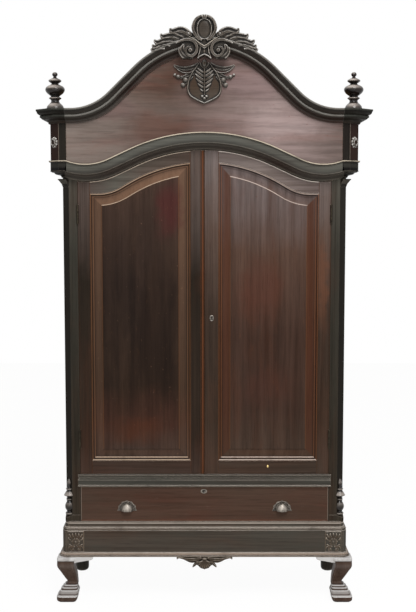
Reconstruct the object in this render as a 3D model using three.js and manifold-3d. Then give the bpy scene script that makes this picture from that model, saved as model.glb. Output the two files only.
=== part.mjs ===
// Kas cupboard: an arched hood over two frame-and-panel doors, one long drawer, a plinth and cabriole legs.
// Millimetres, +Z up, the front towards -Y, +X to the right, origin on the floor under the middle.

import * as THREE from 'three';
import { mergeVertices } from 'three/addons/utils/BufferGeometryUtils.js';
import Module from 'manifold-3d';

const wasm = await Module();
wasm.setup();

// Driving dimensions
const caseWidth = 1202; // across the corner posts
const caseDepth = 436; // face of the doors to the back
const legHeight = 200;
const plinthHeight = 115;
const standTopHeight = 37;
const drawerHeight = 153;
const waistHeight = 54;
const doorSideHeight = 1260; // door opening at the hinge side
const headMouldHeight = 70; // moulding over the doors, square to its curve
const hoodHeight = 211; // from the head moulding to the top of the cornice, at the corners
const hoodStep = 45; // the hood stands this far outside the case
const corniceProjection = 57;
const corniceHeight = 58;
const crestProud = 12; // crest in front of the cornice
const gap = 0.3; // between pieces that touch
const overrun = 4; // a cutting shape runs past what it cuts

// Arches. The shoulder lies level beyond the low point, and the shares set how round the two bends are.
const headArch = { shoulder: 40, rise: 132, bendShare: 0.963, endShare: 0.233 };
const corniceArch = { shoulder: 23.5, rise: 286, bendShare: 0.944, endShare: 0.348 };
const panelArch = { shoulder: 35, rise: 132, bendShare: 0.996, endShare: 0.229 };

// Sizes of the pieces
const board = { side: 18, back: 14, shelf: 18, floor: 20, top: 18, dado: 6, frieze: 20, head: 18 };
const post = { width: 64, depth: 60, cant: 28, footHeight: 15, footProud: 3, stopHeight: 12 };
const capital = { height: 34, proud: 22, flare: 6, drop: 5 }; // bell under the head moulding
const plinth = { proud: 14, cant: 14, thickness: 22, back: 18, mouldHeight: 17, mouldProud: 15 };
const plinthPanel = { width: 68, margin: 9, relief: 3, bossRadius: 17, bossRelief: 7 };
const standTop = { mouldHeight: 17, mouldProud: 15, guideHeight: 18, guideWidth: 20 };
const waist = { mouldProud: 9, tongue: 18, stopRise: 10 };
const hood = { blockFace: 31.5, cant: 39, side: 18 };
const boss = { width: 26, height: 46, proud: 7, lift: 75 }; // on the cant of the corner block
const leg = { padHeight: 19, padProud: 38, padInner: 41, cantShare: 0.11 };
const wing = { reach: 118, taper: 15, thick: 30, setBack: 9.5 }; // bracket beside the knee
const rearFoot = { radius: 31.5, inset: 20, fromBack: 38 };
const apron = { halfWidth: 122, height: 57, thickness: 14 };
const shell = { radius: 31, thick: 22, halfShare: 0.46, liftShare: 0.48 }; // middle of the apron
const baluster = { height: 169, radius: 25, lift: 17 };
const finial = { height: 154, radius: 40.5, fromSide: 24, fromFront: 24 };
const door = { thickness: 28, edgeGap: 1.4, hingeStile: 52, meetingStile: 59, bottomRail: 59, topRail: 50 };
const joinery = { tenonThick: 10, tenonLength: 30, tenonShoulder: 10, clearance: 0.3 };
const panel = { tongue: 8, tongueThick: 6, tongueFrom: 10, moulding: 14, bevel: 35, fieldStep: 1.5 };
const bead = { radius: 4.7, quirk: 4.5, quirkDepth: 3, inset: 9.6, proud: 2.5 };
const hinge = { height: 80, leafWidth: 22, leaf: 2, knuckle: 4.6, pin: 2.2, proud: 5.2, clearance: 0.4 };
const hingePlace = { above: 136, below: 154 };
const doorLock = { width: 50, height: 80, thickness: 14, inset: 4, lift: 678 };
const lockBolt = { height: 18, thickness: 6, reachShare: 0.7 };
const doorBolt = { width: 14, thickness: 7, length: 130, inset: 24, rise: 2, throwLength: 12 };
const drawer = { side: 12, front: 22, backRoom: 28, boxHeight: 146, bottom: 8, bottomLift: 10, groove: 5 };
const drawerGaps = { edge: 1.8, top: 2 };
const drawerLock = { width: 64, height: 38, thickness: 12 };
const drawerBolt = { width: 24, thickness: 6, throwLength: 10, reachShare: 0.7 };
const pull = { fromEdge: 201, lift: 46, width: 84, height: 45, flange: 2 };
const cup = { half: 25.5, depth: 22, height: 33, wall: 2.2 };
const crest = { halfWidth: 221, tipHeight: 58, thickness: 30 };
const scroll = { radius: 36, fromMiddle: 65, dropShare: 1.42, eyeShare: 0.45 };
const medallion = { halfWidth: 50, halfHeight: 48, lift: 42, rim: 18, dish: 6, swellShare: 0.7 };
const cartouche = { halfWidth: 134, height: 180, drop: 84, plate: 9, ring: 18, ringWidth: 12, leaf: 20 };

// Levels, from the floor up
const zPlinth = legHeight;
const zStandTop = zPlinth + plinthHeight;
const zDrawer = zStandTop + standTopHeight;
const zWaist = zDrawer + drawerHeight;
const zDoor = zWaist + waistHeight;
const zHeadLow = zDoor + doorSideHeight + headMouldHeight;

// Places across and through the piece
const caseHalf = caseWidth / 2;
const openHalf = caseHalf - post.width;
const hoodHalf = caseHalf + hoodStep;
const blockInner = hoodHalf - hood.cant - hood.blockFace;
const overallDepth = caseDepth + hoodStep + corniceProjection + crestProud;
const yBack = overallDepth / 2;
const yCase = yBack - caseDepth;
const yHood = yCase - hoodStep;
const yCornice = yHood - corniceProjection;
const yPostBack = yCase + post.depth;
const yBackInner = yBack - board.back - gap;
const sideInner = caseHalf - board.side;
const yFinialSeat = yHood + finial.fromFront + finial.radius; // top of the corner block, under the finial

// Arched line: a crown arc, a straight slope and an end arc whose low point lies at the span
function fitArch({ shoulder, rise, bendShare, endShare }, halfWidth, low, risesAgain) {
  const span = halfWidth - shoulder;
  const bothRadii = bendShare * (span ** 2 + rise ** 2) / (2 * rise);
  const endRadius = endShare * bothRadii;
  return makeArch({ span, rise, endRadius, crownRadius: bothRadii - endRadius }, low, risesAgain);
}

function makeArch({ span, rise, endRadius, crownRadius }, low, risesAgain) {
  const down = endRadius + crownRadius - rise;
  const reach = Math.hypot(span, down);
  const slope = Math.asin((endRadius + crownRadius) / reach) - Math.atan2(down, span);
  const crownEnd = crownRadius * Math.sin(slope);
  const endStart = span - endRadius * Math.sin(slope);
  const top = low + rise;
  const height = (x) => {
    const across = Math.abs(x);
    if (across <= crownEnd) return top - crownRadius + Math.sqrt(crownRadius ** 2 - across ** 2);
    if (across < endStart) {
      return top - crownRadius * (1 - Math.cos(slope)) - (across - crownEnd) * Math.tan(slope);
    }
    if (across > span && !risesAgain) return low;
    return low + endRadius - Math.sqrt(endRadius ** 2 - (across - span) ** 2);
  };
  const tilt = (x) => {
    const across = Math.abs(x);
    const side = Math.sign(x);
    if (across <= crownEnd) return side * Math.asin(across / crownRadius);
    if (across < endStart) return side * slope;
    if (across > span && !risesAgain) return 0;
    return side * Math.asin((span - across) / endRadius);
  };
  const offset = (distance) => makeArch(
    { span, rise, endRadius: endRadius - distance, crownRadius: crownRadius + distance },
    low + distance, risesAgain);
  const places = (limit, crownSteps, endSteps) => {
    const list = [];
    for (let i = 0; i <= crownSteps; i += 1) {
      list.push(crownRadius * Math.sin(slope * i / crownSteps));
    }
    for (let i = 0; i < endSteps; i += 1) {
      list.push(span - endRadius * Math.sin(slope * (1 - i / endSteps)));
    }
    list.push(span);
    if (risesAgain) {
      const rest = Math.max(2, Math.round(endSteps / 2));
      for (let i = 1; i < rest; i += 1) list.push(span + (limit - span) * i / rest);
    }
    list.push(limit);
    const half = list.filter((x) => x <= limit);
    return [...half.slice(1).reverse().map((x) => -x), ...half];
  };
  return { height, tilt, offset, places, low, top };
}

const headLine = fitArch(headArch, openHalf, zHeadLow, true);
const zBlock = headLine.height(blockInner);
const zCornice = zBlock + hoodHeight;
const corniceLine = fitArch(corniceArch, blockInner, zCornice, false);
const openingLine = fitArch(headArch, openHalf, zHeadLow, false).offset(-headMouldHeight);
const doorLine = openingLine.offset(-door.edgeGap * 2);
const zTopBoard = zCornice - board.top;

// Shapes
function closedMesh(rings, capTriangles) {
  const count = rings[0].length;
  const positions = rings.flat().flatMap((point) => [point.x, point.y, point.z]);
  const faces = [];
  for (let i = 0; i < rings.length - 1; i += 1) {
    for (let j = 0; j < count; j += 1) {
      const a = i * count + j;
      const b = i * count + (j + 1) % count;
      faces.push([a, b, b + count], [a, b + count, a + count]);
    }
  }
  const last = (rings.length - 1) * count;
  for (const [a, b, c] of capTriangles) {
    faces.push([a, c, b], [a + last, b + last, c + last]);
  }
  let volume = 0;
  const points = rings.flat();
  for (const [a, b, c] of faces) {
    volume += points[a].dot(new THREE.Vector3().crossVectors(points[b], points[c]));
  }
  const ordered = volume < 0 ? faces.map(([a, b, c]) => [a, c, b]) : faces;
  const geometry = new THREE.BufferGeometry();
  geometry.setAttribute('position', new THREE.Float32BufferAttribute(positions, 3));
  geometry.setIndex(ordered.flat());
  return geometry;
}

function capOf(outline) {
  const points = outline.map(([u, v]) => new THREE.Vector2(u, v));
  const backwards = THREE.ShapeUtils.area(points) < 0;
  return THREE.ShapeUtils.triangulateShape(points, [])
    .map(([a, b, c]) => (backwards ? [a, c, b] : [a, b, c]));
}

function sweep(stations, profile) {
  const rings = stations.map(({ at, out, up }) => profile.map(([p, h]) => (
    at.clone().addScaledVector(out, p).addScaledVector(up, h))));
  return closedMesh(rings, capOf(profile));
}

function loftPlan(levels) {
  const rings = levels.map(({ z, outline }) => outline.map(([x, y]) => new THREE.Vector3(x, y, z)));
  return closedMesh(rings, capOf(levels[0].outline));
}

function prism(outline, low, high, axis) {
  const shape = new THREE.Shape(outline.map(([u, v]) => new THREE.Vector2(u, v)));
  const geometry = new THREE.ExtrudeGeometry(shape, { depth: high - low, bevelEnabled: false });
  geometry.translate(0, 0, low);
  if (axis === 'x') {
    geometry.applyMatrix4(new THREE.Matrix4().set(0, 0, 1, 0, 1, 0, 0, 0, 0, 1, 0, 0, 0, 0, 0, 1));
  }
  if (axis === 'y') {
    geometry.translate(0, 0, -low - high);
    geometry.rotateX(Math.PI / 2);
  }
  return geometry;
}

function block(x0, x1, y0, y1, z0, z1) {
  const geometry = new THREE.BoxGeometry(x1 - x0, y1 - y0, z1 - z0);
  geometry.translate((x0 + x1) / 2, (y0 + y1) / 2, (z0 + z1) / 2);
  return geometry;
}

function upright(radius, height, sides, x, y, z) {
  const geometry = new THREE.CylinderGeometry(radius, radius, height, sides);
  geometry.rotateX(Math.PI / 2);
  geometry.translate(x, y, z + height / 2);
  return geometry;
}

function facing(radius, depth, sides, x, y, z) {
  const geometry = new THREE.CylinderGeometry(radius, radius, depth, sides);
  geometry.translate(x, y + depth / 2, z);
  return geometry;
}

function turned(shares, radius, height, sides, x, y, z) {
  const points = shares.map(([r, h]) => new THREE.Vector2(r * radius, h * height));
  const geometry = new THREE.LatheGeometry(points, sides);
  geometry.rotateX(Math.PI / 2);
  geometry.translate(x, y, z);
  return geometry;
}

function ellipsoid(rx, ry, rz, around, rows, x, y, z) {
  const geometry = new THREE.SphereGeometry(1, around, rows);
  geometry.rotateX(Math.PI / 2);
  geometry.scale(rx, ry, rz);
  geometry.translate(x, y, z);
  return geometry;
}

function toSolid(shape) {
  if (!(shape instanceof THREE.BufferGeometry)) return shape;
  const bare = shape.clone();
  bare.deleteAttribute('normal');
  bare.deleteAttribute('uv');
  const merged = mergeVertices(bare);
  const mesh = new wasm.Mesh({
    numProp: 3,
    vertProperties: new Float32Array(merged.attributes.position.array),
    triVerts: new Uint32Array(merged.index.array),
  });
  mesh.merge();
  return new wasm.Manifold(mesh);
}

const join = (...shapes) => shapes.map(toSolid).reduce((whole, one) => whole.add(one));
const cut = (shape, ...cutters) => (
  cutters.map(toSolid).reduce((rest, one) => rest.subtract(one), toSolid(shape)));

function toGeometry(shape) {
  const geometry = new THREE.BufferGeometry();
  if (shape instanceof THREE.BufferGeometry) {
    geometry.copy(shape);
  } else {
    const mesh = shape.getMesh();
    geometry.setAttribute('position', new THREE.BufferAttribute(new Float32Array(mesh.vertProperties), 3));
    geometry.setIndex(new THREE.BufferAttribute(new Uint32Array(mesh.triVerts), 1));
  }
  geometry.computeVertexNormals();
  return geometry;
}

// Stations of a moulding that follows a plan line, outwards to the right of the walk
function planStations(points, z) {
  const normals = [];
  for (let i = 0; i < points.length - 1; i += 1) {
    const dx = points[i + 1][0] - points[i][0];
    const dy = points[i + 1][1] - points[i][1];
    const length = Math.hypot(dx, dy);
    normals.push(new THREE.Vector3(dy / length, -dx / length, 0));
  }
  return points.map(([x, y], i) => {
    const before = normals[Math.max(0, i - 1)];
    const after = normals[Math.min(normals.length - 1, i)];
    const out = before.clone().add(after).normalize();
    out.divideScalar(out.dot(after));
    return { at: new THREE.Vector3(x, y, z), out, up: new THREE.Vector3(0, 0, 1) };
  });
}

// Stations of a moulding on the front of an arch
function archStations(line, places, y) {
  return places.map((x) => ({
    at: new THREE.Vector3(x, y, line.height(x)),
    out: new THREE.Vector3(0, -1, 0),
    up: new THREE.Vector3(Math.sin(line.tilt(x)), 0, Math.cos(line.tilt(x))),
  }));
}

const scaled = (shares, width, height) => shares.map(([u, v]) => [u * width, v * height]);
const mirrored = (points) => points.map(([u, v]) => [-u, v]).reverse();

// Outline moved outwards by a distance, each corner along its mitre
function grow(outline, distance) {
  const area = THREE.ShapeUtils.area(outline.map(([u, v]) => new THREE.Vector2(u, v)));
  const turn = Math.sign(area);
  const count = outline.length;
  return outline.map(([u, v], i) => {
    const [pu, pv] = outline[(i + count - 1) % count];
    const [nu, nv] = outline[(i + 1) % count];
    const first = new THREE.Vector2(v - pv, pu - u).normalize().multiplyScalar(turn);
    const second = new THREE.Vector2(nv - v, u - nu).normalize().multiplyScalar(turn);
    const mitre = first.clone().add(second);
    mitre.multiplyScalar(distance / Math.max(mitre.dot(first), first.length() / 2));
    return [u + mitre.x, v + mitre.y];
  });
}

// Finishes
const finish = (color, roughness = 0.5, metalness = 0) => (
  new THREE.MeshStandardMaterial({ color, roughness, metalness }));
const ebonised = finish(0x33302c, 0.45);
const frameWood = finish(0x4a3a33, 0.45);
const panelWood = finish(0x4a2f26, 0.35);
const friezeWood = finish(0x6a463c, 0.4);
const plinthWood = finish(0x45413a, 0.5);
const drawerWood = finish(0x4a352e, 0.45);
const innerWood = finish(0x7d5b41, 0.7);
const brass = finish(0x8a7350, 0.45, 0.9);
const ironwork = finish(0x5a534d, 0.5, 0.85);

const kas = new THREE.Group();
const rightHalf = new THREE.Group();
const leftHalf = new THREE.Group();
leftHalf.scale.x = -1;
kas.add(rightHalf, leftHalf);

function place(parent, name, shape, material) {
  const mesh = new THREE.Mesh(toGeometry(shape), material);
  mesh.name = name;
  parent.add(mesh);
}

function placePair(name, shape, material) {
  place(leftHalf, `left_${name}`, shape, material);
  place(rightHalf, `right_${name}`, shape, material);
}

// Corner of the plan: the front line, a cant and the side line, for a plan of the given half-width
function cornerPlan(half, yFront, cant) {
  return [[half - cant, yFront], [half, yFront + cant]];
}

function frontWalk(half, yFront, cant, yEnd) {
  const corner = cornerPlan(half, yFront, cant);
  const right = [...corner, [half, yEnd]];
  return [...mirrored(right), ...right];
}

// Stand: legs, plinth and moulded top board
// Height, inner edge and outer edge as shares of the leg's height, the edges from the case's corner
const legShares = [
  [0, -0.185, 0.13], [0.03, -0.21, 0.18], [0.08, -0.235, 0.205], [0.12, -0.25, 0.205],
  [0.15, -0.25, 0.175], [0.2, -0.27, 0.15], [0.25, -0.24, 0.13], [0.27, -0.235, 0.105],
  [0.31, -0.23, 0.07], [0.34, -0.235, 0.03], [0.38, -0.235, -0.01], [0.44, -0.24, -0.015],
  [0.5, -0.24, 0.01], [0.59, -0.225, 0.065], [0.68, -0.2, 0.12], [0.765, -0.18, 0.175],
  [0.83, -0.17, 0.19], [0.905, -0.19, 0.185]];

function frontLeg() {
  const levels = legShares.map(([height, inner, outer]) => {
    const low = inner * legHeight;
    const high = outer * legHeight;
    const cant = (high - low) * leg.cantShare;
    return {
      z: height * legHeight,
      outline: [[low + cant, low], [low, low + cant], [low, high - cant], [low + cant, high],
        [high - cant, high], [high, high - cant], [high, low + cant], [high - cant, low]]
        .map(([across, forward]) => [caseHalf + across, yCase - forward]),
    };
  });
  const padTop = legHeight - gap;
  const padLow = legHeight - leg.padHeight;
  const outer = caseHalf + leg.padProud;
  const inner = caseHalf - leg.padInner;
  const front = yCase - leg.padProud;
  const rear = yCase + leg.padInner;
  const pad = block(inner, outer, front, rear, padLow, padTop);
  const tip = caseHalf - wing.reach;
  const frontWing = prism([[tip, padTop], [tip + wing.taper, padLow], [inner + wing.thick, padLow],
    [inner + wing.thick, padTop]], front + wing.setBack, front + wing.setBack + wing.thick, 'y');
  const backTip = yCase + wing.reach;
  const sideWing = prism([[backTip, padTop], [rear - wing.thick, padTop],
    [rear - wing.thick, padLow], [backTip - wing.taper, padLow]],
  outer - wing.setBack - wing.thick, outer - wing.setBack, 'x');
  return join(loftPlan(levels), pad, frontWing, sideWing);
}

const rearFootShares = [[0, 0], [0.72, 0], [0.93, 0.03], [1, 0.08], [1, 0.5], [0.92, 0.62], [0.98, 0.72],
  [0.98, 1], [0, 1]];

const frontLegShape = frontLeg();
place(leftHalf, 'front_left_leg', frontLegShape, frameWood);
place(rightHalf, 'front_right_leg', frontLegShape, frameWood);
const rearFootShape = turned(rearFootShares, rearFoot.radius, legHeight - gap, 16,
  caseHalf - rearFoot.inset, yBack - rearFoot.fromBack, 0);
place(leftHalf, 'rear_left_foot', rearFootShape, ebonised);
place(rightHalf, 'rear_right_foot', rearFootShape, ebonised);

const plinthHalf = caseHalf + plinth.proud;
const yPlinth = yCase - plinth.proud;
const yPlinthInner = yPlinth + plinth.cant + plinth.thickness / 2;
const baseMouldShares = [[-1, 0], [0.8, 0], [1, 0.18], [1, 0.42], [0.7, 0.6], [0.35, 0.72], [0.2, 1],
  [-1, 1]];
const baseMould = scaled(baseMouldShares, plinth.mouldProud, plinth.mouldHeight);

function plinthFront() {
  const zBoard = zPlinth + plinth.mouldHeight / 2;
  const high = zStandTop - gap;
  const corner = cornerPlan(plinthHalf, yPlinth, plinth.cant);
  const right = [...corner, [plinthHalf, yPlinthInner]];
  const boardShape = prism([...mirrored(right), ...right], zBoard, high, 'z');
  const walk = frontWalk(plinthHalf, yPlinth, plinth.cant, yPlinthInner);
  const mould = sweep(planStations(walk, zPlinth), baseMould);
  const zPanelLow = zPlinth + plinth.mouldHeight + plinthPanel.margin / 2;
  const zPanelHigh = high - plinthPanel.margin / 2;
  const xPanel = plinthHalf - plinth.cant - plinthPanel.margin;
  const carved = [1, -1].flatMap((side) => {
    const near = side * (xPanel - plinthPanel.width);
    const far = side * xPanel;
    const middle = (near + far) / 2;
    const zMiddle = (zPanelLow + zPanelHigh) / 2;
    return [
      block(Math.min(near, far), Math.max(near, far), yPlinth - plinthPanel.relief,
        yPlinth + plinthPanel.relief, zPanelLow, zPanelHigh),
      ellipsoid(plinthPanel.bossRadius, plinthPanel.bossRelief, plinthPanel.bossRadius, 12, 6,
        middle, yPlinth - plinthPanel.relief, zMiddle),
    ];
  });
  return join(boardShape, mould, ...carved);
}

function plinthSides() {
  const inner = plinthHalf - plinth.thickness;
  const yStart = yPlinthInner + gap;
  const yInner = yBack - plinth.back;
  const outline = [[plinthHalf, yStart], [plinthHalf, yBack], [-plinthHalf, yBack], [-plinthHalf, yStart],
    [-inner, yStart], [-inner, yInner], [inner, yInner], [inner, yStart]];
  const boards = prism(outline, zPlinth + plinth.mouldHeight / 2, zStandTop - gap, 'z');
  const right = sweep(planStations([[plinthHalf, yStart], [plinthHalf, yBack]], zPlinth), baseMould);
  const left = sweep(planStations([[-plinthHalf, yBack], [-plinthHalf, yStart]], zPlinth), baseMould);
  return join(boards, right, left);
}

place(kas, 'plinth_front', plinthFront(), plinthWood);
place(kas, 'plinth_sides_and_back', plinthSides(), plinthWood);

const capMouldShares = [[-1, 0], [0.75, 0], [0.95, 0.12], [1, 0.3], [0.9, 0.5], [0.55, 0.56], [0.5, 0.66],
  [0.3, 0.72], [0.2, 1], [-1, 1]];

function standTopBoard() {
  const corner = cornerPlan(caseHalf + post.footProud, yCase - post.footProud, plinth.cant);
  const right = [...corner, [caseHalf + post.footProud, yBack]];
  const boardShape = prism([...mirrored(right), ...right], zStandTop, zDrawer, 'z');
  const walk = frontWalk(caseHalf, yCase, plinth.cant, yBack);
  const profile = scaled(capMouldShares, standTop.mouldProud, standTop.mouldHeight);
  const mould = sweep(planStations(walk, zStandTop), profile);
  const guides = [1, -1].map((side) => {
    const near = side * (openHalf + gap);
    const far = side * (openHalf + standTop.guideWidth);
    return block(Math.min(near, far), Math.max(near, far), yPostBack + gap, yBackInner - gap,
      zDrawer - gap, zDrawer + standTop.guideHeight);
  });
  return join(boardShape, mould, ...guides);
}

place(kas, 'stand_top', standTopBoard(), plinthWood);

const apronWingShares = [[0, 1], [0.99, 1], [1, 0.9], [0.74, 0.84], [0.6, 0.76], [0.52, 0.62], [0.5, 0.36],
  [0.42, 0.22], [0.32, 0.26], [0.28, 0.44], [0.24, 0.2], [0.12, 0.04], [0, 0]];

function apronCarving() {
  const right = scaled(apronWingShares, apron.halfWidth, apron.height).slice(1, -1);
  const outline = [[0, apron.height], ...right, [0, 0], ...mirrored(right)];
  const low = legHeight - gap - apron.height;
  const lifted = outline.map(([x, z]) => [x, z + low]);
  const yFace = yPlinth - plinth.mouldProud / 2;
  const plate = prism(lifted, yFace, yFace + apron.thickness, 'y');
  const swell = ellipsoid(shell.radius, shell.thick / 2, apron.height * shell.halfShare, 14, 8,
    0, yFace, low + apron.height * shell.liftShare);
  return cut(join(plate, swell), block(-apron.halfWidth, apron.halfWidth, yFace - apron.height, yBack,
    legHeight - gap, legHeight + apron.height));
}

place(kas, 'apron_carving', apronCarving(), ebonised);

// Case: posts, sides, rails, floor, shelves, back and top
function cornerPost() {
  const corner = cornerPlan(caseHalf, yCase, post.cant);
  const low = zDrawer + gap;
  const plan = [[openHalf, yCase], ...corner, [caseHalf, yPostBack], [openHalf, yPostBack]];
  const shaft = prism(plan, low, zTopBoard - gap, 'z');
  const footHalf = caseHalf + post.footProud;
  const footFront = yCase - post.footProud;
  const footPlan = (cant) => [[openHalf + gap, footFront], [footHalf - cant, footFront],
    [footHalf, footFront + cant], [footHalf, yPostBack - gap], [openHalf + gap, yPostBack - gap]];
  const foot = loftPlan([
    { z: low, outline: footPlan(plinth.cant / 2) },
    { z: low + post.footHeight, outline: footPlan(plinth.cant / 2) },
    { z: low + post.footHeight + post.stopHeight, outline: footPlan(post.cant + 2 * post.footProud) }]);
  const zCap = zBlock - headMouldHeight - capital.drop;
  const out = capital.proud * Math.SQRT1_2;
  const along = capital.flare * Math.SQRT1_2;
  const [[ax, ay], [bx, by]] = corner;
  const capLevel = (z, share) => ({
    z,
    outline: [[ax + (out - along) * share, ay - (out + along) * share],
      [bx + (out + along) * share, by - (out - along) * share],
      [bx - post.cant / 2, by + post.cant / 4], [ax - post.cant / 4, ay + post.cant / 2]],
  });
  const bellShares = [[1, 0.02], [0.6, 0.28], [0.15, 0.86], [0.12, 1], [0, 1]]; // depth below the top, and reach
  const bell = loftPlan(bellShares.map(([down, reach]) => capLevel(zCap - capital.height * down, reach)));
  const drop = hinge.height / 2 + gap;
  const recess = hinge.leaf + hinge.clearance;
  const mortises = hingeHeights().map((z) => block(openHalf - overrun, openHalf + recess,
    yCase - overrun, yCase + hinge.leafWidth + gap, z - drop, z + drop));
  const tenonRoom = [[zWaist, zDoor], [doorLine.low, zTopBoard]].map(([z0, z1]) => {
    const middle = (z0 + z1) / 2;
    const half = (z1 - z0) / 2 - joinery.tenonShoulder + joinery.clearance;
    return block(openHalf - overrun, openHalf + waist.tongue + joinery.clearance,
      railTenonY() - joinery.clearance, railTenonY() + joinery.tenonThick + joinery.clearance,
      middle - half, middle + half);
  });
  return cut(join(shaft, foot, bell), ...mortises, ...tenonRoom);
}

function hingeHeights() {
  return [doorLine.low - hingePlace.above, zDoor + hingePlace.below];
}

function railTenonY() {
  return yCase + door.thickness - joinery.tenonThick;
}

placePair('corner_post', cornerPost(), ebonised);

const balusterShares = [[0, 0], [0.62, 0], [0.68, 0.03], [0.6, 0.06], [0.42, 0.08], [0.6, 0.12], [0.8, 0.19],
  [0.76, 0.27], [0.5, 0.36], [0.36, 0.4], [0.48, 0.43], [0.48, 0.46], [0.34, 0.48], [0.4, 0.53], [0.72, 0.56],
  [1, 0.66], [0.9, 0.71], [0.46, 0.74], [0.62, 0.78], [0.46, 0.81], [0.3, 0.85], [0.34, 0.91], [0.2, 0.97],
  [0, 1]];

function splitBaluster() {
  const middleX = caseHalf - post.cant / 2;
  const middleY = yCase + post.cant / 2;
  const low = zDrawer + baluster.lift + post.stopHeight;
  const turnedWhole = turned(balusterShares, baluster.radius, baluster.height - post.stopHeight, 14,
    middleX, middleY, low);
  const reach = baluster.radius + overrun;
  const behind = prism([[middleX - reach + gap, middleY - reach - gap],
    [middleX + reach + gap, middleY + reach - gap], [middleX - reach, middleY + reach * 3],
    [middleX - reach * 3, middleY + reach]], low - overrun, low + baluster.height + overrun, 'z');
  return cut(turnedWhole, behind);
}

placePair('split_baluster', splitBaluster(), ebonised);

function shelfLevels() {
  const low = zDoor + waist.stopRise;
  const high = doorLine.low;
  return [low + (high - low) / 3, low + (high - low) * 2 / 3];
}

const zFloorTop = zDoor + waist.stopRise;

function caseSide() {
  const side = block(sideInner, caseHalf, yPostBack + gap, yBack, zDrawer + gap, zTopBoard - gap);
  const grooves = [...shelfLevels().map((z) => [z, board.shelf]), [zFloorTop - board.floor, board.floor]]
    .map(([z, thick]) => block(sideInner - overrun, sideInner + board.dado, yPostBack - overrun,
      yBackInner, z - joinery.clearance, z + thick + joinery.clearance));
  return cut(side, ...grooves);
}

placePair('side', caseSide(), frameWood);

const shelfHalf = sideInner + board.dado - gap;
const shelfBoard = (z, thick) => (
  block(-shelfHalf, shelfHalf, yPostBack + gap, yBackInner - gap, z, z + thick));
shelfLevels().forEach((z, i) => {
  place(kas, `${['lower', 'upper'][i]}_shelf`, shelfBoard(z, board.shelf), innerWood);
});
place(kas, 'case_floor', shelfBoard(zFloorTop - board.floor, board.floor), innerWood);
place(kas, 'back_panel', block(-sideInner + gap, sideInner - gap, yBackInner + gap, yBack,
  zDrawer + gap, zTopBoard - gap), innerWood);

const waistShares = [[-1, 0], [0.8, 0], [1, 0.04], [0.8, 0.1], [0.45, 0.13], [0.45, 0.52], [0.1, 0.62],
  [0.1, 0.76], [0.5, 0.84], [0.8, 0.88], [1, 0.95], [0.8, 1], [-1, 1]];

function waistRail() {
  const half = openHalf - gap;
  const high = zDoor - gap;
  const body = block(-half, half, yCase, yPostBack, zWaist, high);
  const stop = block(-half, half, yCase + door.thickness + gap * 2, yPostBack, zWaist, zFloorTop);
  const tongues = block(-openHalf - waist.tongue, openHalf + waist.tongue, railTenonY(),
    railTenonY() + joinery.tenonThick, zWaist + joinery.tenonShoulder, zDoor - joinery.tenonShoulder);
  const profile = scaled(waistShares, waist.mouldProud, high - zWaist);
  const yFace = yCase - gap;
  const end = openHalf + waist.mouldProud;
  const walk = [[-end, yFace], [end, yFace]];
  const mould = sweep(planStations(walk, zWaist), profile.map(([p, h]) => [Math.max(p, 0), h]));
  const link = block(-half, half, yCase - gap * 2, yCase + gap, zWaist, high);
  const [boltX, boltY] = doorBoltPlace();
  const boltHole = block(-boltX - doorBolt.width - gap, -boltX + gap, boltY - gap,
    boltY + doorBolt.thickness + gap, zDoor - doorBolt.throwLength - overrun, zFloorTop + overrun);
  const lockHalf = drawerBolt.width / 2 + gap;
  const lockY = drawerLockY() + (drawerLock.thickness - drawerBolt.thickness) / 2;
  const lockHole = block(-lockHalf, lockHalf, lockY - gap, lockY + drawerBolt.thickness + gap,
    zWaist - overrun, zWaist + drawerBolt.throwLength + overrun);
  return cut(join(body, stop, tongues, mould, link), boltHole, lockHole);
}

function doorBoltPlace() {
  return [doorBolt.inset, yCase + door.thickness - doorBolt.thickness];
}

function drawerLockY() {
  return yCase + drawer.front + gap;
}

place(kas, 'waist_rail', waistRail(), ebonised);

function headRail() {
  const half = openHalf - gap;
  const low = (line, drop) => line.places(half, 7, 4).map((x) => [x, line.height(x) - drop]);
  const high = zTopBoard - gap;
  const outline = (drop) => [...low(openingLine, drop), [half, high], [-half, high]];
  const front = prism(outline(0), yCase, yCase + door.thickness + gap, 'y');
  const yStop = yCase + door.thickness;
  const stop = prism(outline(waist.stopRise), yStop + gap, yStop + board.head, 'y');
  const tongue = joinery.tenonThick;
  const middle = (doorLine.low + zTopBoard) / 2;
  const tall = (zTopBoard - doorLine.low) / 2 - joinery.tenonShoulder;
  const tongues = [1, -1].map((side) => {
    const near = side * (half - waist.tongue);
    const far = side * (openHalf + waist.tongue);
    return block(Math.min(near, far), Math.max(near, far), railTenonY(), railTenonY() + tongue,
      middle - tall, middle + tall);
  });
  return join(front, stop, ...tongues);
}

place(kas, 'head_rail', headRail(), ebonised);

// Hood: head moulding, frieze, corner blocks and sides, top board and cornice
const hoodCorner = cornerPlan(hoodHalf, yHood, hood.cant);
const headMouldShares = [[-0.993, 0], [0.178, 0], [0.178, -0.055], [0.02, -0.085], [0.045, -0.33],
  [0.02, -0.58], [-0.02, -0.64], [-0.14, -0.66], [-0.32, -0.73], [-0.46, -0.84], [-0.64, -0.93],
  [-0.9, -0.96], [-0.94, -1], [-0.993, -1]];

function headMoulding() {
  const profile = scaled(headMouldShares, hoodStep, headMouldHeight);
  const places = headLine.places(blockInner, 8, 5);
  const arch = archStations(headLine, places, yHood);
  for (const end of [arch[0], arch[arch.length - 1]]) {
    const half = Math.asin(end.up.x) / 2;
    end.up.set(Math.tan(half), 0, 1);
  }
  const walk = [[blockInner, yHood], ...hoodCorner, [hoodHalf, yBack]];
  const right = planStations(walk, zBlock).slice(1);
  const left = planStations(mirrored(walk), zBlock).slice(0, -1);
  return sweep([...left, ...arch, ...right], profile);
}

place(kas, 'door_head_moulding', headMoulding(), ebonised);

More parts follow.
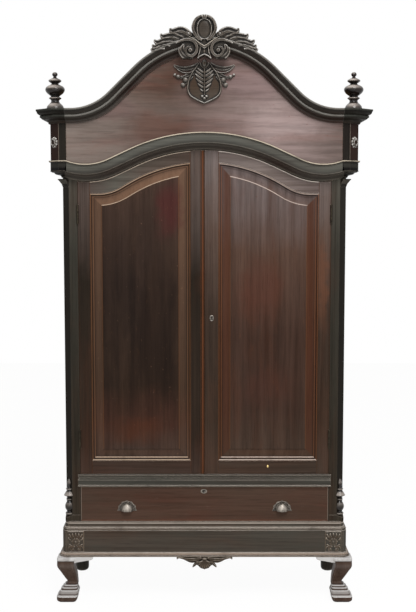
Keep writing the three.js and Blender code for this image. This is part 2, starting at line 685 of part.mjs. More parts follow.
function friezeBoard() {
  const half = blockInner - gap;
  const lower = headLine.places(half, 8, 5).map((x) => [x, headLine.height(x) + gap * 1.2]);
  const upper = corniceLine.places(half, 8, 5).reverse().map((x) => [x, corniceLine.height(x)]);
  return prism([...lower, ...upper], yHood, yHood + board.frieze, 'y');
}

place(kas, 'frieze_board', friezeBoard(), friezeWood);

function hoodSide() {
  const inner = hoodHalf - hood.side;
  const plan = [[blockInner, yHood], ...hoodCorner, [hoodHalf, yBack], [inner, yBack], [inner, yCase - gap],
    [blockInner, yCase - gap]];
  const casing = prism(plan, zBlock + gap, zCornice, 'z');
  const seat = block(blockInner, inner + overrun, yCase - overrun, yFinialSeat, zTopBoard, zCornice);
  const knob = ellipsoid(boss.width / 2, boss.proud, boss.height / 2, 12, 8, 0, 0, 0);
  knob.rotateZ(Math.PI / 4);
  knob.translate(hoodHalf - hood.cant / 2, yHood + hood.cant / 2, zBlock + boss.lift);
  return join(casing, seat, knob);
}

placePair('hood_side', hoodSide(), ebonised);

function topBoard() {
  const half = hoodHalf - hood.side - gap;
  const frontHalf = blockInner - gap;
  const yNotch = yFinialSeat + gap;
  const right = [[frontHalf, yHood + board.frieze + gap], [frontHalf, yNotch], [half, yNotch], [half, yBack]];
  return prism([...mirrored(right), ...right], zTopBoard, zCornice, 'z');
}

place(kas, 'top_board', topBoard(), innerWood);

const corniceShares = [[0, 0], [1, 0], [1, -0.13], [0.93, -0.17], [0.8, -0.22], [0.69, -0.32], [0.64, -0.46],
  [0.7, -0.5], [0.73, -0.56], [0.68, -0.63], [0.6, -0.66], [0.42, -0.72], [0.24, -0.8], [0.14, -0.88],
  [0.14, -1], [0, -1]];
const corniceProfile = scaled(corniceShares, corniceProjection, corniceHeight);
const seated = (profile) => profile.map(([p, h]) => [Math.max(p, gap), h]);
const corniceStations = archStations(corniceLine, corniceLine.places(blockInner - gap, 9, 5), yHood);
const returnStations = planStations([[blockInner, yHood], ...hoodCorner, [hoodHalf, yBack]], zCornice);

place(kas, 'cornice_moulding', sweep(corniceStations, seated(corniceProfile)), ebonised);
placePair('cornice_return', sweep(returnStations, seated(corniceProfile)), ebonised);

const finialShares = [[0, 0], [0.9, 0], [0.9, 0.03], [0.8, 0.09], [0.5, 0.14], [0.37, 0.17], [0.37, 0.2],
  [0.62, 0.25], [0.62, 0.27], [0.42, 0.3], [0.8, 0.38], [1, 0.47], [0.96, 0.54], [0.7, 0.61], [0.3, 0.66],
  [0.3, 0.7], [0.66, 0.73], [0.6, 0.77], [0.22, 0.81], [0.2, 0.85], [0.3, 0.9], [0.27, 0.96], [0, 1]];
placePair('finial', turned(finialShares, finial.radius, finial.height, 16, hoodHalf - finial.fromSide,
  yHood + finial.fromFront, zCornice + gap), ebonised);

// Crest on the middle of the cornice and cartouche on the frieze
const wingShares = [[0.16, 0.55], [0.24, 0.78], [0.32, 0.8], [0.4, 0.68], [0.53, 0.76], [0.627, 0.97],
  [0.65, 0.63], [0.8, 0.81], [0.77, 0.41], [0.916, 0.59], [0.894, 0.34], [0.977, 0.43], [0.968, 0.21],
  [1, 0.19], [0.9, 0.02]];
const underShares = [0.7, 0.45, 0.2];
const neckShares = [[-1.1, 1.9], [-1.1, 1.2], [-0.7, 0.2], [-1.1, -0.75], [1.1, -0.75], [0.7, 0.2], [1.1, 1.2],
  [1.1, 1.9]];

function crestOrnament() {
  const yFront = yCornice - crestProud / 2;
  const leaf = wingShares.map(([across, lift]) => {
    const x = across * crest.halfWidth;
    return [x, corniceLine.height(x) + gap + lift * crest.tipHeight];
  });
  const under = underShares.map((share) => {
    const x = share * crest.halfWidth;
    return [x, corniceLine.height(x) + gap];
  });
  const half = [...leaf, ...under];
  const base = prism([[0, corniceLine.top + gap], [0, corniceLine.top + medallion.lift], ...half],
    yFront, yFront + crest.thickness, 'y');
  const otherBase = toSolid(base).mirror([1, 0, 0]);
  const zMedal = corniceLine.top + medallion.lift;
  const yMiddle = yFront + crest.thickness / 2;
  const swell = crest.thickness * medallion.swellShare;
  const medal = ellipsoid(medallion.halfWidth, swell, medallion.halfHeight, 20, 10, 0, yMiddle, zMedal);
  const dish = ellipsoid(medallion.halfWidth - medallion.rim, medallion.dish,
    medallion.halfHeight - medallion.rim / 2, 16, 6, 0, yMiddle - swell, zMedal - medallion.rim / 4);
  const zScroll = corniceLine.top - scroll.radius * scroll.dropShare;
  const yFace = yCornice - crestProud;
  const yDisc = yFace + crestProud / 2;
  const scrolls = [1, -1].flatMap((side) => [
    facing(scroll.radius, yHood - gap - yDisc, 18, side * scroll.fromMiddle, yDisc, zScroll),
    facing(scroll.radius * scroll.eyeShare, crestProud, 10, side * scroll.fromMiddle, yFace, zScroll)]);
  const neck = prism(neckShares.map(([u, v]) => [u * scroll.radius, zScroll + v * scroll.radius]),
    yDisc, yHood - gap, 'y');
  const body = cut(join(base, otherBase, cut(medal, dish), ...scrolls, neck));
  const places = corniceLine.places(crest.halfWidth + crest.thickness, 9, 0);
  const room = sweep(archStations(corniceLine, places, yHood + gap),
    grow(corniceProfile.map(([p, h]) => [p === 0 ? -overrun : p + gap, h]), gap));
  return cut(body, room);
}

place(kas, 'crest', crestOrnament(), ebonised);

const cartoucheShares = [[0.09, 0.95], [0.1, 0.86], [0.3, 0.76], [0.6, 0.73], [0.82, 0.79], [1, 0.86],
  [0.88, 0.7], [0.76, 0.67], [0.97, 0.67], [0.84, 0.55], [0.75, 0.48], [0.69, 0.38]];
const shieldShares = [[0.57, 0.4], [0.53, 0.35], [0.5, 0.24], [0.39, 0.13], [0.19, 0.05]];
const palmetteShares = [[0.1, 0.86], [0.22, 0.7], [0.2, 0.62], [0.33, 0.55], [0.28, 0.47], [0.4, 0.38],
  [0.3, 0.3], [0.24, 0.22], [0.1, 0.18]];

function friezeCartouche() {
  const low = corniceLine.top - cartouche.drop - cartouche.height;
  const laid = (shares) => scaled(shares, cartouche.halfWidth, cartouche.height).map(([x, z]) => [x, z + low]);
  const full = (shares, top, bottom) => [[0, low + top * cartouche.height], ...laid(shares),
    [0, low + bottom * cartouche.height], ...mirrored(laid(shares))];
  const yFace = yHood - gap;
  const outline = full([...cartoucheShares, ...shieldShares], 1, 0);
  const plate = prism(outline, yFace - cartouche.plate, yFace, 'y');
  const outer = laid(shieldShares);
  const inner = outer.map(([x, z]) => [x - cartouche.ringWidth, z + cartouche.ringWidth / 3]);
  const ringHalf = [...outer, [0, low], [0, low + cartouche.ringWidth], ...inner.reverse()];
  const ring = prism(ringHalf, yFace - cartouche.ring, yFace, 'y');
  const palmette = prism(full(palmetteShares, 0.98, 0.12), yFace - cartouche.leaf, yFace, 'y');
  return join(plate, ring, toSolid(ring).mirror([1, 0, 0]), palmette);
}

place(kas, 'frieze_cartouche', friezeCartouche(), ebonised);

// Doors, built for the right side; the left door is its mirror with a bead on the meeting edge
const doorOuter = openHalf - door.edgeGap;
const zDoorLow = zDoor + door.edgeGap;
const xHinge = openHalf - door.hingeStile;
const xMeet = door.meetingStile;
const zPanel = zDoorLow + door.bottomRail;
const panelLine = fitArch(panelArch, xHinge, doorLine.low - door.topRail, false);
const panelSteps = 12;

function panelOutline(inset) {
  const line = panelLine.offset(-inset);
  const right = xHinge - inset;
  const left = xMeet + inset;
  const points = [[left, zPanel + inset], [right, zPanel + inset]];
  for (let i = 0; i <= panelSteps; i += 1) {
    const x = right + (left - right) * i / panelSteps;
    points.push([x, line.height(x)]);
  }
  return points;
}

function doorPanel() {
  const back = panel.tongueFrom + panel.tongueThick;
  const edge = panel.moulding;
  const rows = [[-panel.tongue, back], [-panel.tongue, panel.tongueFrom], [gap, panel.tongueFrom], [gap, gap],
    [edge * 0.2, 0], [edge * 0.45, panel.tongueFrom * 0.2], [edge * 0.7, panel.tongueFrom * 0.7],
    [edge, panel.tongueFrom * 0.8], [edge + panel.bevel, panel.fieldStep * 2],
    [edge + panel.bevel + panel.fieldStep, panel.fieldStep]];
  const rings = rows.map(([inset, depth]) => panelOutline(inset).map(([x, z]) => (
    new THREE.Vector3(x, yCase + depth, z))));
  return closedMesh(rings, capOf(panelOutline(0)));
}

function grooveCutter() {
  const front = yCase + panel.tongueFrom;
  return prism(panelOutline(-panel.tongue - joinery.clearance), front - joinery.clearance,
    front + panel.tongueThick + joinery.clearance, 'y');
}

const tenonY = yCase + (door.thickness - joinery.tenonThick) / 2;

function tenonBlocks(clearance) {
  const shoulder = joinery.tenonShoulder + panel.tongue;
  const spans = [
    [xHinge, 1, panelLine.height(xHinge) + shoulder, doorLine.low - joinery.tenonShoulder],
    [xMeet, -1, panelLine.height(xMeet) + shoulder, doorLine.height(xMeet) - joinery.tenonShoulder],
    [xHinge, 1, zDoorLow + joinery.tenonShoulder, zPanel - shoulder],
    [xMeet, -1, zDoorLow + joinery.tenonShoulder, zPanel - shoulder]];
  return spans.map(([x, side, z0, z1]) => {
    const ends = [x - side * overrun, x + side * (joinery.tenonLength + clearance)];
    return block(Math.min(...ends), Math.max(...ends), tenonY - clearance,
      tenonY + joinery.tenonThick + clearance, z0 - clearance, z1 + clearance);
  });
}

function doorStile(from, to, extra = []) {
  const xs = [from, ...doorLine.places(to, 7, 3).filter((x) => x > from + gap && x < to - gap), to];
  const outline = [[from, zDoorLow], [to, zDoorLow], ...xs.reverse().map((x) => [x, doorLine.height(x)])];
  const body = prism(outline, yCase, yCase + door.thickness, 'y');
  return cut(body, grooveCutter(), ...tenonBlocks(joinery.clearance), ...extra);
}

function hingeStile() {
  const drop = hinge.height / 2 + gap;
  const recess = hinge.leaf + hinge.clearance;
  const mortises = hingeHeights().map((z) => block(doorOuter - recess, doorOuter + overrun,
    yCase - overrun, yCase + hinge.leafWidth + gap, z - drop, z + drop));
  return doorStile(xHinge, doorOuter, mortises);
}

function meetingStile(beaded) {
  const tall = [zDoorLow - overrun, doorLine.top + overrun];
  if (!beaded) return doorStile(door.edgeGap / 2, xMeet);
  const quirks = [1, -1].map((side) => {
    const x = bead.inset + side * (bead.radius + bead.quirk / 4);
    return prism([[x - bead.quirk / 3, yCase - overrun], [x + bead.quirk / 3, yCase - overrun],
      [x, yCase + bead.quirkDepth]], ...tall, 'z');
  });
  const [boltX, boltY] = doorBoltPlace();
  const groove = block(boltX - gap, boltX + doorBolt.width + gap, boltY - gap,
    yCase + door.thickness + overrun, zDoorLow - overrun,
    zDoorLow + doorBolt.rise + doorBolt.length + doorBolt.throwLength);
  const stile = doorStile(door.edgeGap / 2, xMeet, [...quirks, groove]);
  const roll = upright(bead.radius, doorLine.height(bead.inset) - zDoorLow - gap, 12,
    bead.inset, yCase + bead.radius - bead.proud, zDoorLow);
  return join(stile, roll);
}

function doorTopRail() {
  const left = xMeet + gap;
  const right = xHinge - gap;
  const between = doorLine.places(right, 7, 4).filter((x) => x > left + gap && x < right - gap);
  const upper = [right, ...between.reverse(), left].map((x) => [x, doorLine.height(x)]);
  const lower = panelOutline(0).slice(2).reverse().map(([x, z]) => [Math.min(right, Math.max(left, x)), z]);
  const body = prism([...lower, ...upper], yCase, yCase + door.thickness, 'y');
  return join(cut(body, grooveCutter()), ...tenonBlocks(0).slice(0, 2));
}

function doorBottomRail() {
  const body = block(xMeet + gap, xHinge - gap, yCase, yCase + door.thickness, zDoorLow, zPanel);
  return join(cut(body, grooveCutter()), ...tenonBlocks(0).slice(2));
}

const rightDoor = new THREE.Group();
const leftDoor = new THREE.Group();
rightHalf.add(rightDoor);
leftHalf.add(leftDoor);

function placeOnDoors(name, shape, material) {
  place(leftDoor, `left_door_${name}`, shape, material);
  place(rightDoor, `right_door_${name}`, shape, material);
}

placeOnDoors('hinge_stile', hingeStile(), frameWood);
place(leftDoor, 'left_door_meeting_stile', meetingStile(true), frameWood);
place(rightDoor, 'right_door_meeting_stile', meetingStile(false), frameWood);
placeOnDoors('top_rail', doorTopRail(), frameWood);
placeOnDoors('bottom_rail', doorBottomRail(), frameWood);
placeOnDoors('panel', doorPanel(), panelWood);

// Butt hinges: three knuckles on a pin, leaves let into the post and the door's edge
const axisX = openHalf - door.edgeGap / 2;
const axisY = yCase - hinge.proud;

function hingeLeaves(z) {
  const low = z - hinge.height / 2;
  const third = hinge.height / 3;
  const knuckle = (level, tall, radius) => upright(radius, tall, 12, axisX, axisY, level);
  const clear = hinge.knuckle + hinge.clearance;
  const leafFrom = (x) => block(x, x + hinge.leaf, axisY, yCase + hinge.leafWidth, low, low + hinge.height);
  const onFrame = join(cut(leafFrom(openHalf), knuckle(low + third, third, clear)),
    knuckle(low, third - gap / 2, hinge.knuckle),
    knuckle(low + third * 2 + gap / 2, third - gap / 2, hinge.knuckle),
    knuckle(low + gap, hinge.height - gap * 2, hinge.pin));
  const doorLeaf = cut(leafFrom(doorOuter - hinge.leaf), knuckle(low - overrun, third + overrun, clear),
    knuckle(low + third * 2, third + overrun, clear));
  const onDoor = cut(join(doorLeaf, knuckle(low + third + gap / 2, third - gap, hinge.knuckle)),
    knuckle(low - overrun, hinge.height + overrun * 2, hinge.pin + gap));
  return [onFrame, onDoor];
}

hingeHeights().forEach((z, i) => {
  const level = ['upper', 'lower'][i];
  const [onFrame, onDoor] = hingeLeaves(z);
  placePair(`${level}_hinge_frame_leaf`, onFrame, brass);
  placeOnDoors(`${level}_hinge_leaf`, onDoor, brass);
});

// Lock on the back of the right door, and the bolt let into the back of the left door
const yDoorBack = yCase + door.thickness;
const lockBoltY = yDoorBack + gap + (doorLock.thickness - lockBolt.thickness) / 2;
const lockBoltEnd = doorLock.inset + doorLock.width * lockBolt.reachShare;
const zLock = zDoor + doorLock.lift;

function lockCase() {
  const body = block(doorLock.inset, doorLock.inset + doorLock.width, yDoorBack + gap,
    yDoorBack + gap + doorLock.thickness, zLock - doorLock.height / 2, zLock + doorLock.height / 2);
  const half = lockBolt.height / 2 + gap;
  const channel = block(-overrun, lockBoltEnd, lockBoltY - gap, lockBoltY + lockBolt.thickness + gap,
    zLock - half, zLock + half);
  return cut(body, channel);
}

place(rightDoor, 'door_lock', lockCase(), ironwork);
place(rightDoor, 'door_lock_bolt', block(door.edgeGap, lockBoltEnd - gap, lockBoltY,
  lockBoltY + lockBolt.thickness, zLock - lockBolt.height / 2, zLock + lockBolt.height / 2), brass);

const [boltX, boltY] = doorBoltPlace();
const boltLow = zDoorLow + doorBolt.rise;
const boltTop = boltLow + doorBolt.length;
const boltShaft = block(boltX, boltX + doorBolt.width, boltY, boltY + doorBolt.thickness, boltLow, boltTop);
const boltKnob = block(boltX + doorBolt.width / 4, boltX + doorBolt.width * 3 / 4, boltY + doorBolt.thickness / 2,
  boltY + doorBolt.thickness * 2, boltTop - doorBolt.width * 2, boltTop - doorBolt.width);
place(leftDoor, 'left_door_bolt', join(boltShaft, boltKnob), ironwork);

// Drawer
const drawerGroup = new THREE.Group();
kas.add(drawerGroup);
const drawerHalf = openHalf - drawerGaps.edge;
const zDrawerLow = zDrawer + gap;
const yDrawerBack = yBackInner - drawer.backRoom;

function drawerFront() {
  const rear = yCase + drawer.front;
  const half = drawerHalf - drawer.side;
  const low = zDrawerLow + drawerGaps.edge - gap;
  const front = block(-drawerHalf, drawerHalf, yCase, rear, low, zWaist - drawerGaps.top);
  const slot = block(-half, half, rear - drawer.groove - gap, rear + overrun,
    zDrawerLow + drawer.bottomLift - gap, zDrawerLow + drawer.bottomLift + drawer.bottom + gap);
  return cut(front, slot);
}

function drawerBox() {
  const inner = drawerHalf - drawer.side;
  const yStart = yCase + drawer.front + gap;
  const yInner = yDrawerBack - drawer.side;
  const outline = [[drawerHalf, yStart], [drawerHalf, yDrawerBack], [-drawerHalf, yDrawerBack],
    [-drawerHalf, yStart], [-inner, yStart], [-inner, yInner], [inner, yInner], [inner, yStart]];
  const walls = prism(outline, zDrawerLow, zDrawerLow + drawer.boxHeight, 'z');
  const slot = block(-inner - drawer.groove - gap, inner + drawer.groove + gap, yStart - overrun,
    yInner + drawer.groove + gap, zDrawerLow + drawer.bottomLift - gap,
    zDrawerLow + drawer.bottomLift + drawer.bottom + gap);
  return cut(walls, slot);
}

place(drawerGroup, 'drawer_front', drawerFront(), drawerWood);
place(drawerGroup, 'drawer_sides_and_back', drawerBox(), innerWood);

function drawerBottom() {
  const rear = yCase + drawer.front;
  const low = zDrawerLow + drawer.bottomLift;
  const board = (half, y0, y1) => block(-half, half, y0, y1, low, low + drawer.bottom);
  return join(board(drawerHalf - drawer.side - gap, rear - drawer.groove, rear + overrun),
    board(drawerHalf - drawer.side + drawer.groove, rear + gap, yDrawerBack - drawer.side + drawer.groove));
}

place(drawerGroup, 'drawer_bottom', drawerBottom(), innerWood);

function cupPull() {
  const xPull = openHalf - pull.fromEdge;
  const zLow = zDrawer + pull.lift;
  const yFace = yCase - gap;
  const yPlate = yFace - pull.flange;
  const half = pull.width / 2;
  const arc = [];
  const steps = 12;
  for (let i = 0; i <= steps; i += 1) {
    const angle = Math.PI * i / steps;
    arc.push([xPull + half * Math.cos(angle), zLow + pull.height * Math.sin(angle)]);
  }
  const plate = prism(arc, yPlate, yFace, 'y');
  const shellOf = (inset) => ellipsoid(cup.half - inset, cup.depth - inset, cup.height - inset, 18, 12,
    xPull, yPlate, zLow);
  const reach = pull.width;
  const low = block(xPull - reach, xPull + reach, yPlate - reach, yPlate + reach, zLow - reach, zLow);
  const behind = block(xPull - reach, xPull + reach, yPlate, yPlate + reach, zLow - reach, zLow + reach);
  return join(cut(shellOf(0), shellOf(cup.wall), low, behind), plate);
}

const pullShape = cupPull();
const leftPullSide = new THREE.Group();
leftPullSide.scale.x = -1;
drawerGroup.add(leftPullSide);
place(drawerGroup, 'right_cup_pull', pullShape, ironwork);
place(leftPullSide, 'left_cup_pull', pullShape, ironwork);

const lockY = drawerLockY();
const zLockTop = zWaist - drawerGaps.top - gap;
const yBolt = lockY + (drawerLock.thickness - drawerBolt.thickness) / 2;
const channelLow = zLockTop - drawerLock.height * drawerBolt.reachShare;
const lockBody = block(-drawerLock.width / 2, drawerLock.width / 2, lockY, lockY + drawerLock.thickness,
  zLockTop - drawerLock.height, zLockTop);
const boltChannel = block(-drawerBolt.width / 2 - gap, drawerBolt.width / 2 + gap, yBolt - gap,
  yBolt + drawerBolt.thickness + gap, channelLow - gap, zLockTop + overrun);
place(drawerGroup, 'drawer_lock', cut(lockBody, boltChannel), ironwork);
place(drawerGroup, 'drawer_lock_bolt', block(-drawerBolt.width / 2, drawerBolt.width / 2, yBolt,
  yBolt + drawerBolt.thickness, channelLow, zLockTop), brass);

export default kas;
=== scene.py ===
# Kas cupboard: finishes, fine mouldings and carving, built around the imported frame. Metres, front towards -Y.

import math

import bmesh
import bpy
import numpy
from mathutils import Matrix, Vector


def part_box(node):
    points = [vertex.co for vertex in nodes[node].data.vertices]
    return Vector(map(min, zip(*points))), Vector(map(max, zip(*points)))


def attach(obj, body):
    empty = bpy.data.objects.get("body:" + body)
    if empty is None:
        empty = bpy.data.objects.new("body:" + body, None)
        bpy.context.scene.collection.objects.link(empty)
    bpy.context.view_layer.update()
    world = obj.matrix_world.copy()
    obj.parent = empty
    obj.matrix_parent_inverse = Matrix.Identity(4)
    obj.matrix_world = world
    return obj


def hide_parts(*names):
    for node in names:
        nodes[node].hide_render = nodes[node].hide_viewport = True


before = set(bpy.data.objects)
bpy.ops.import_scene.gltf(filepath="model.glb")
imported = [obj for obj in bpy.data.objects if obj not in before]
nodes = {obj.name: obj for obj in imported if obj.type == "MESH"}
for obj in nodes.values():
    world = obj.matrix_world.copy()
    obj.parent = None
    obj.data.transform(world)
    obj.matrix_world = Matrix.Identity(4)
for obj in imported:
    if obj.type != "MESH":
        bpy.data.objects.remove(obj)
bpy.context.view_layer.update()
mm = 0.001
sides = ((-1, "left"), (1, "right"))
print("frame loaded:", len(nodes), "nodes")

# Levels and half-widths, read from the frame
lowest = {name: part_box(name)[0] for name in nodes}
highest = {name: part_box(name)[1] for name in nodes}
caseFront = lowest["drawer_front"].y
hoodFront = lowest["frieze_board"].y
backFace = highest["right_side"].y
caseHalf = highest["right_side"].x
openHalf = lowest["right_corner_post"].x
hoodHalf = highest["right_hood_side"].x
blockInner = lowest["right_hood_side"].x
corniceTop = highest["top_board"].z
gap = 0.3 * mm
blockSeat = lowest["right_hood_side"].z - gap
doorLow = lowest["right_door_bottom_rail"].z
crown = highest["cornice_moulding"].z / mm


# Nodes of materials and of geometry trees
def linear(hexCode):
    values = [int(hexCode[i:i + 2], 16) / 255 for i in (1, 3, 5)]
    return tuple(v / 12.92 if v <= 0.04045 else ((v + 0.055) / 1.055) ** 2.4 for v in values) + (1.0,)


def feed(tree, node, inputs):
    # Inputs go in by number or by name, and a node stands for its first output in use
    for key, value in (inputs.items() if isinstance(inputs, dict) else enumerate(inputs)):
        if isinstance(value, bpy.types.Node):
            value = next(output for output in value.outputs if output.enabled)
        if isinstance(value, bpy.types.NodeSocket):
            tree.links.new(value, node.inputs[key])
        else:
            node.inputs[key].default_value = value


def addNode(tree, kind, inputs=(), stops=(), **settings):
    node = tree.nodes.new(kind)
    for name, value in settings.items():
        setattr(node, name, value)
    feed(tree, node, inputs)
    if stops:
        elements = node.color_ramp.elements
        while len(elements) < len(stops):
            elements.new(0.5)
        for element, (place, hexCode) in zip(elements, stops):
            element.position = place
            element.color = linear(hexCode)
    return node


mathNode, rangeNode = "ShaderNodeMath", "ShaderNodeMapRange"
mixNode, rampNode = "ShaderNodeMix", "ShaderNodeValToRGB"
vectorNode, splitNode, joinNode = "ShaderNodeVectorMath", "ShaderNodeSeparateXYZ", "ShaderNodeCombineXYZ"
lineNode, instanceNode = "GeometryNodeMeshLine", "GeometryNodeInstanceOnPoints"
materials = {}


def newMaterial(name):
    materials[name] = bpy.data.materials.new(name)
    materials[name].use_nodes = True
    tree = materials[name].node_tree
    return tree, tree.nodes["Principled BSDF"]


def patches(tree, place, size, detail=4.0, roughness=0.55, distortion=0.0):
    # A cloudy pattern whose patches measure size along X, Y and Z, in millimetres
    spread = addNode(tree, "ShaderNodeMapping", {"Vector": place, "Scale": tuple(1 / (s * mm) for s in size)})
    return addNode(tree, "ShaderNodeTexNoise", {"Vector": spread, "Scale": 1.0, "Detail": detail,
                                                "Roughness": roughness, "Distortion": distortion})


# Woods. The grain runs from dark to middle, or shades the colours of tones, which change by level along an
# axis; on the door frames, the right panel, the right top rail and the frieze the tones also hold a painted
# sheen, lighter and greyer towards the top of the doors, along the right top rail and to the right on the
# frieze. warm is the red that shows where polish is thin, cool the grey bloom on it, edge and sideEdge the
# pale colours of arrises facing up and facing aside: wear, and on those facing up a painted highlight from
# above. hollow is old wax and dirt, and the painted shade where a point's value of wear and painted light is
# below 0. cant is the colour of canted faces, on the corner posts a painted shade. bands are lines: an axis, a
# range to either side, a colour. spots are stains, with painted shade on the posts and a pale painted sheen on
# the frieze: x, z, their two reaches, a colour, a strength. patch is the size of worn patches and how much
# shows. like names a wood whose values hold where no others are given. Sizes in millimetres, levels in
# metres. IOR 1.5, as an oil varnish has. gloss is the roughness, from 0.3 for a polish to 0.65 for bare pine,
# and figure and streak are the lengths of the grain's pattern.
plainWood = {"figure": 200, "contrast": 1.0, "warm": "#5a3024", "warmShare": 0.35, "cool": "#5a5650",
             "coolShare": 0.2, "edge": "#a89a8a", "sideEdge": "#7a6a5a", "arrisWearAndHighlight": 0.8, "arrisRadius": 3.0,
             "gloss": 0.42, "specular": 0.06, "coat": 0.0, "bump": 0.1, "hollow": "#080605", "cant": None,
             "streak": (800, 6, 0.14), "bands": [], "spots": [], "tones": None, "patch": (110, 0.12, 0.5)}
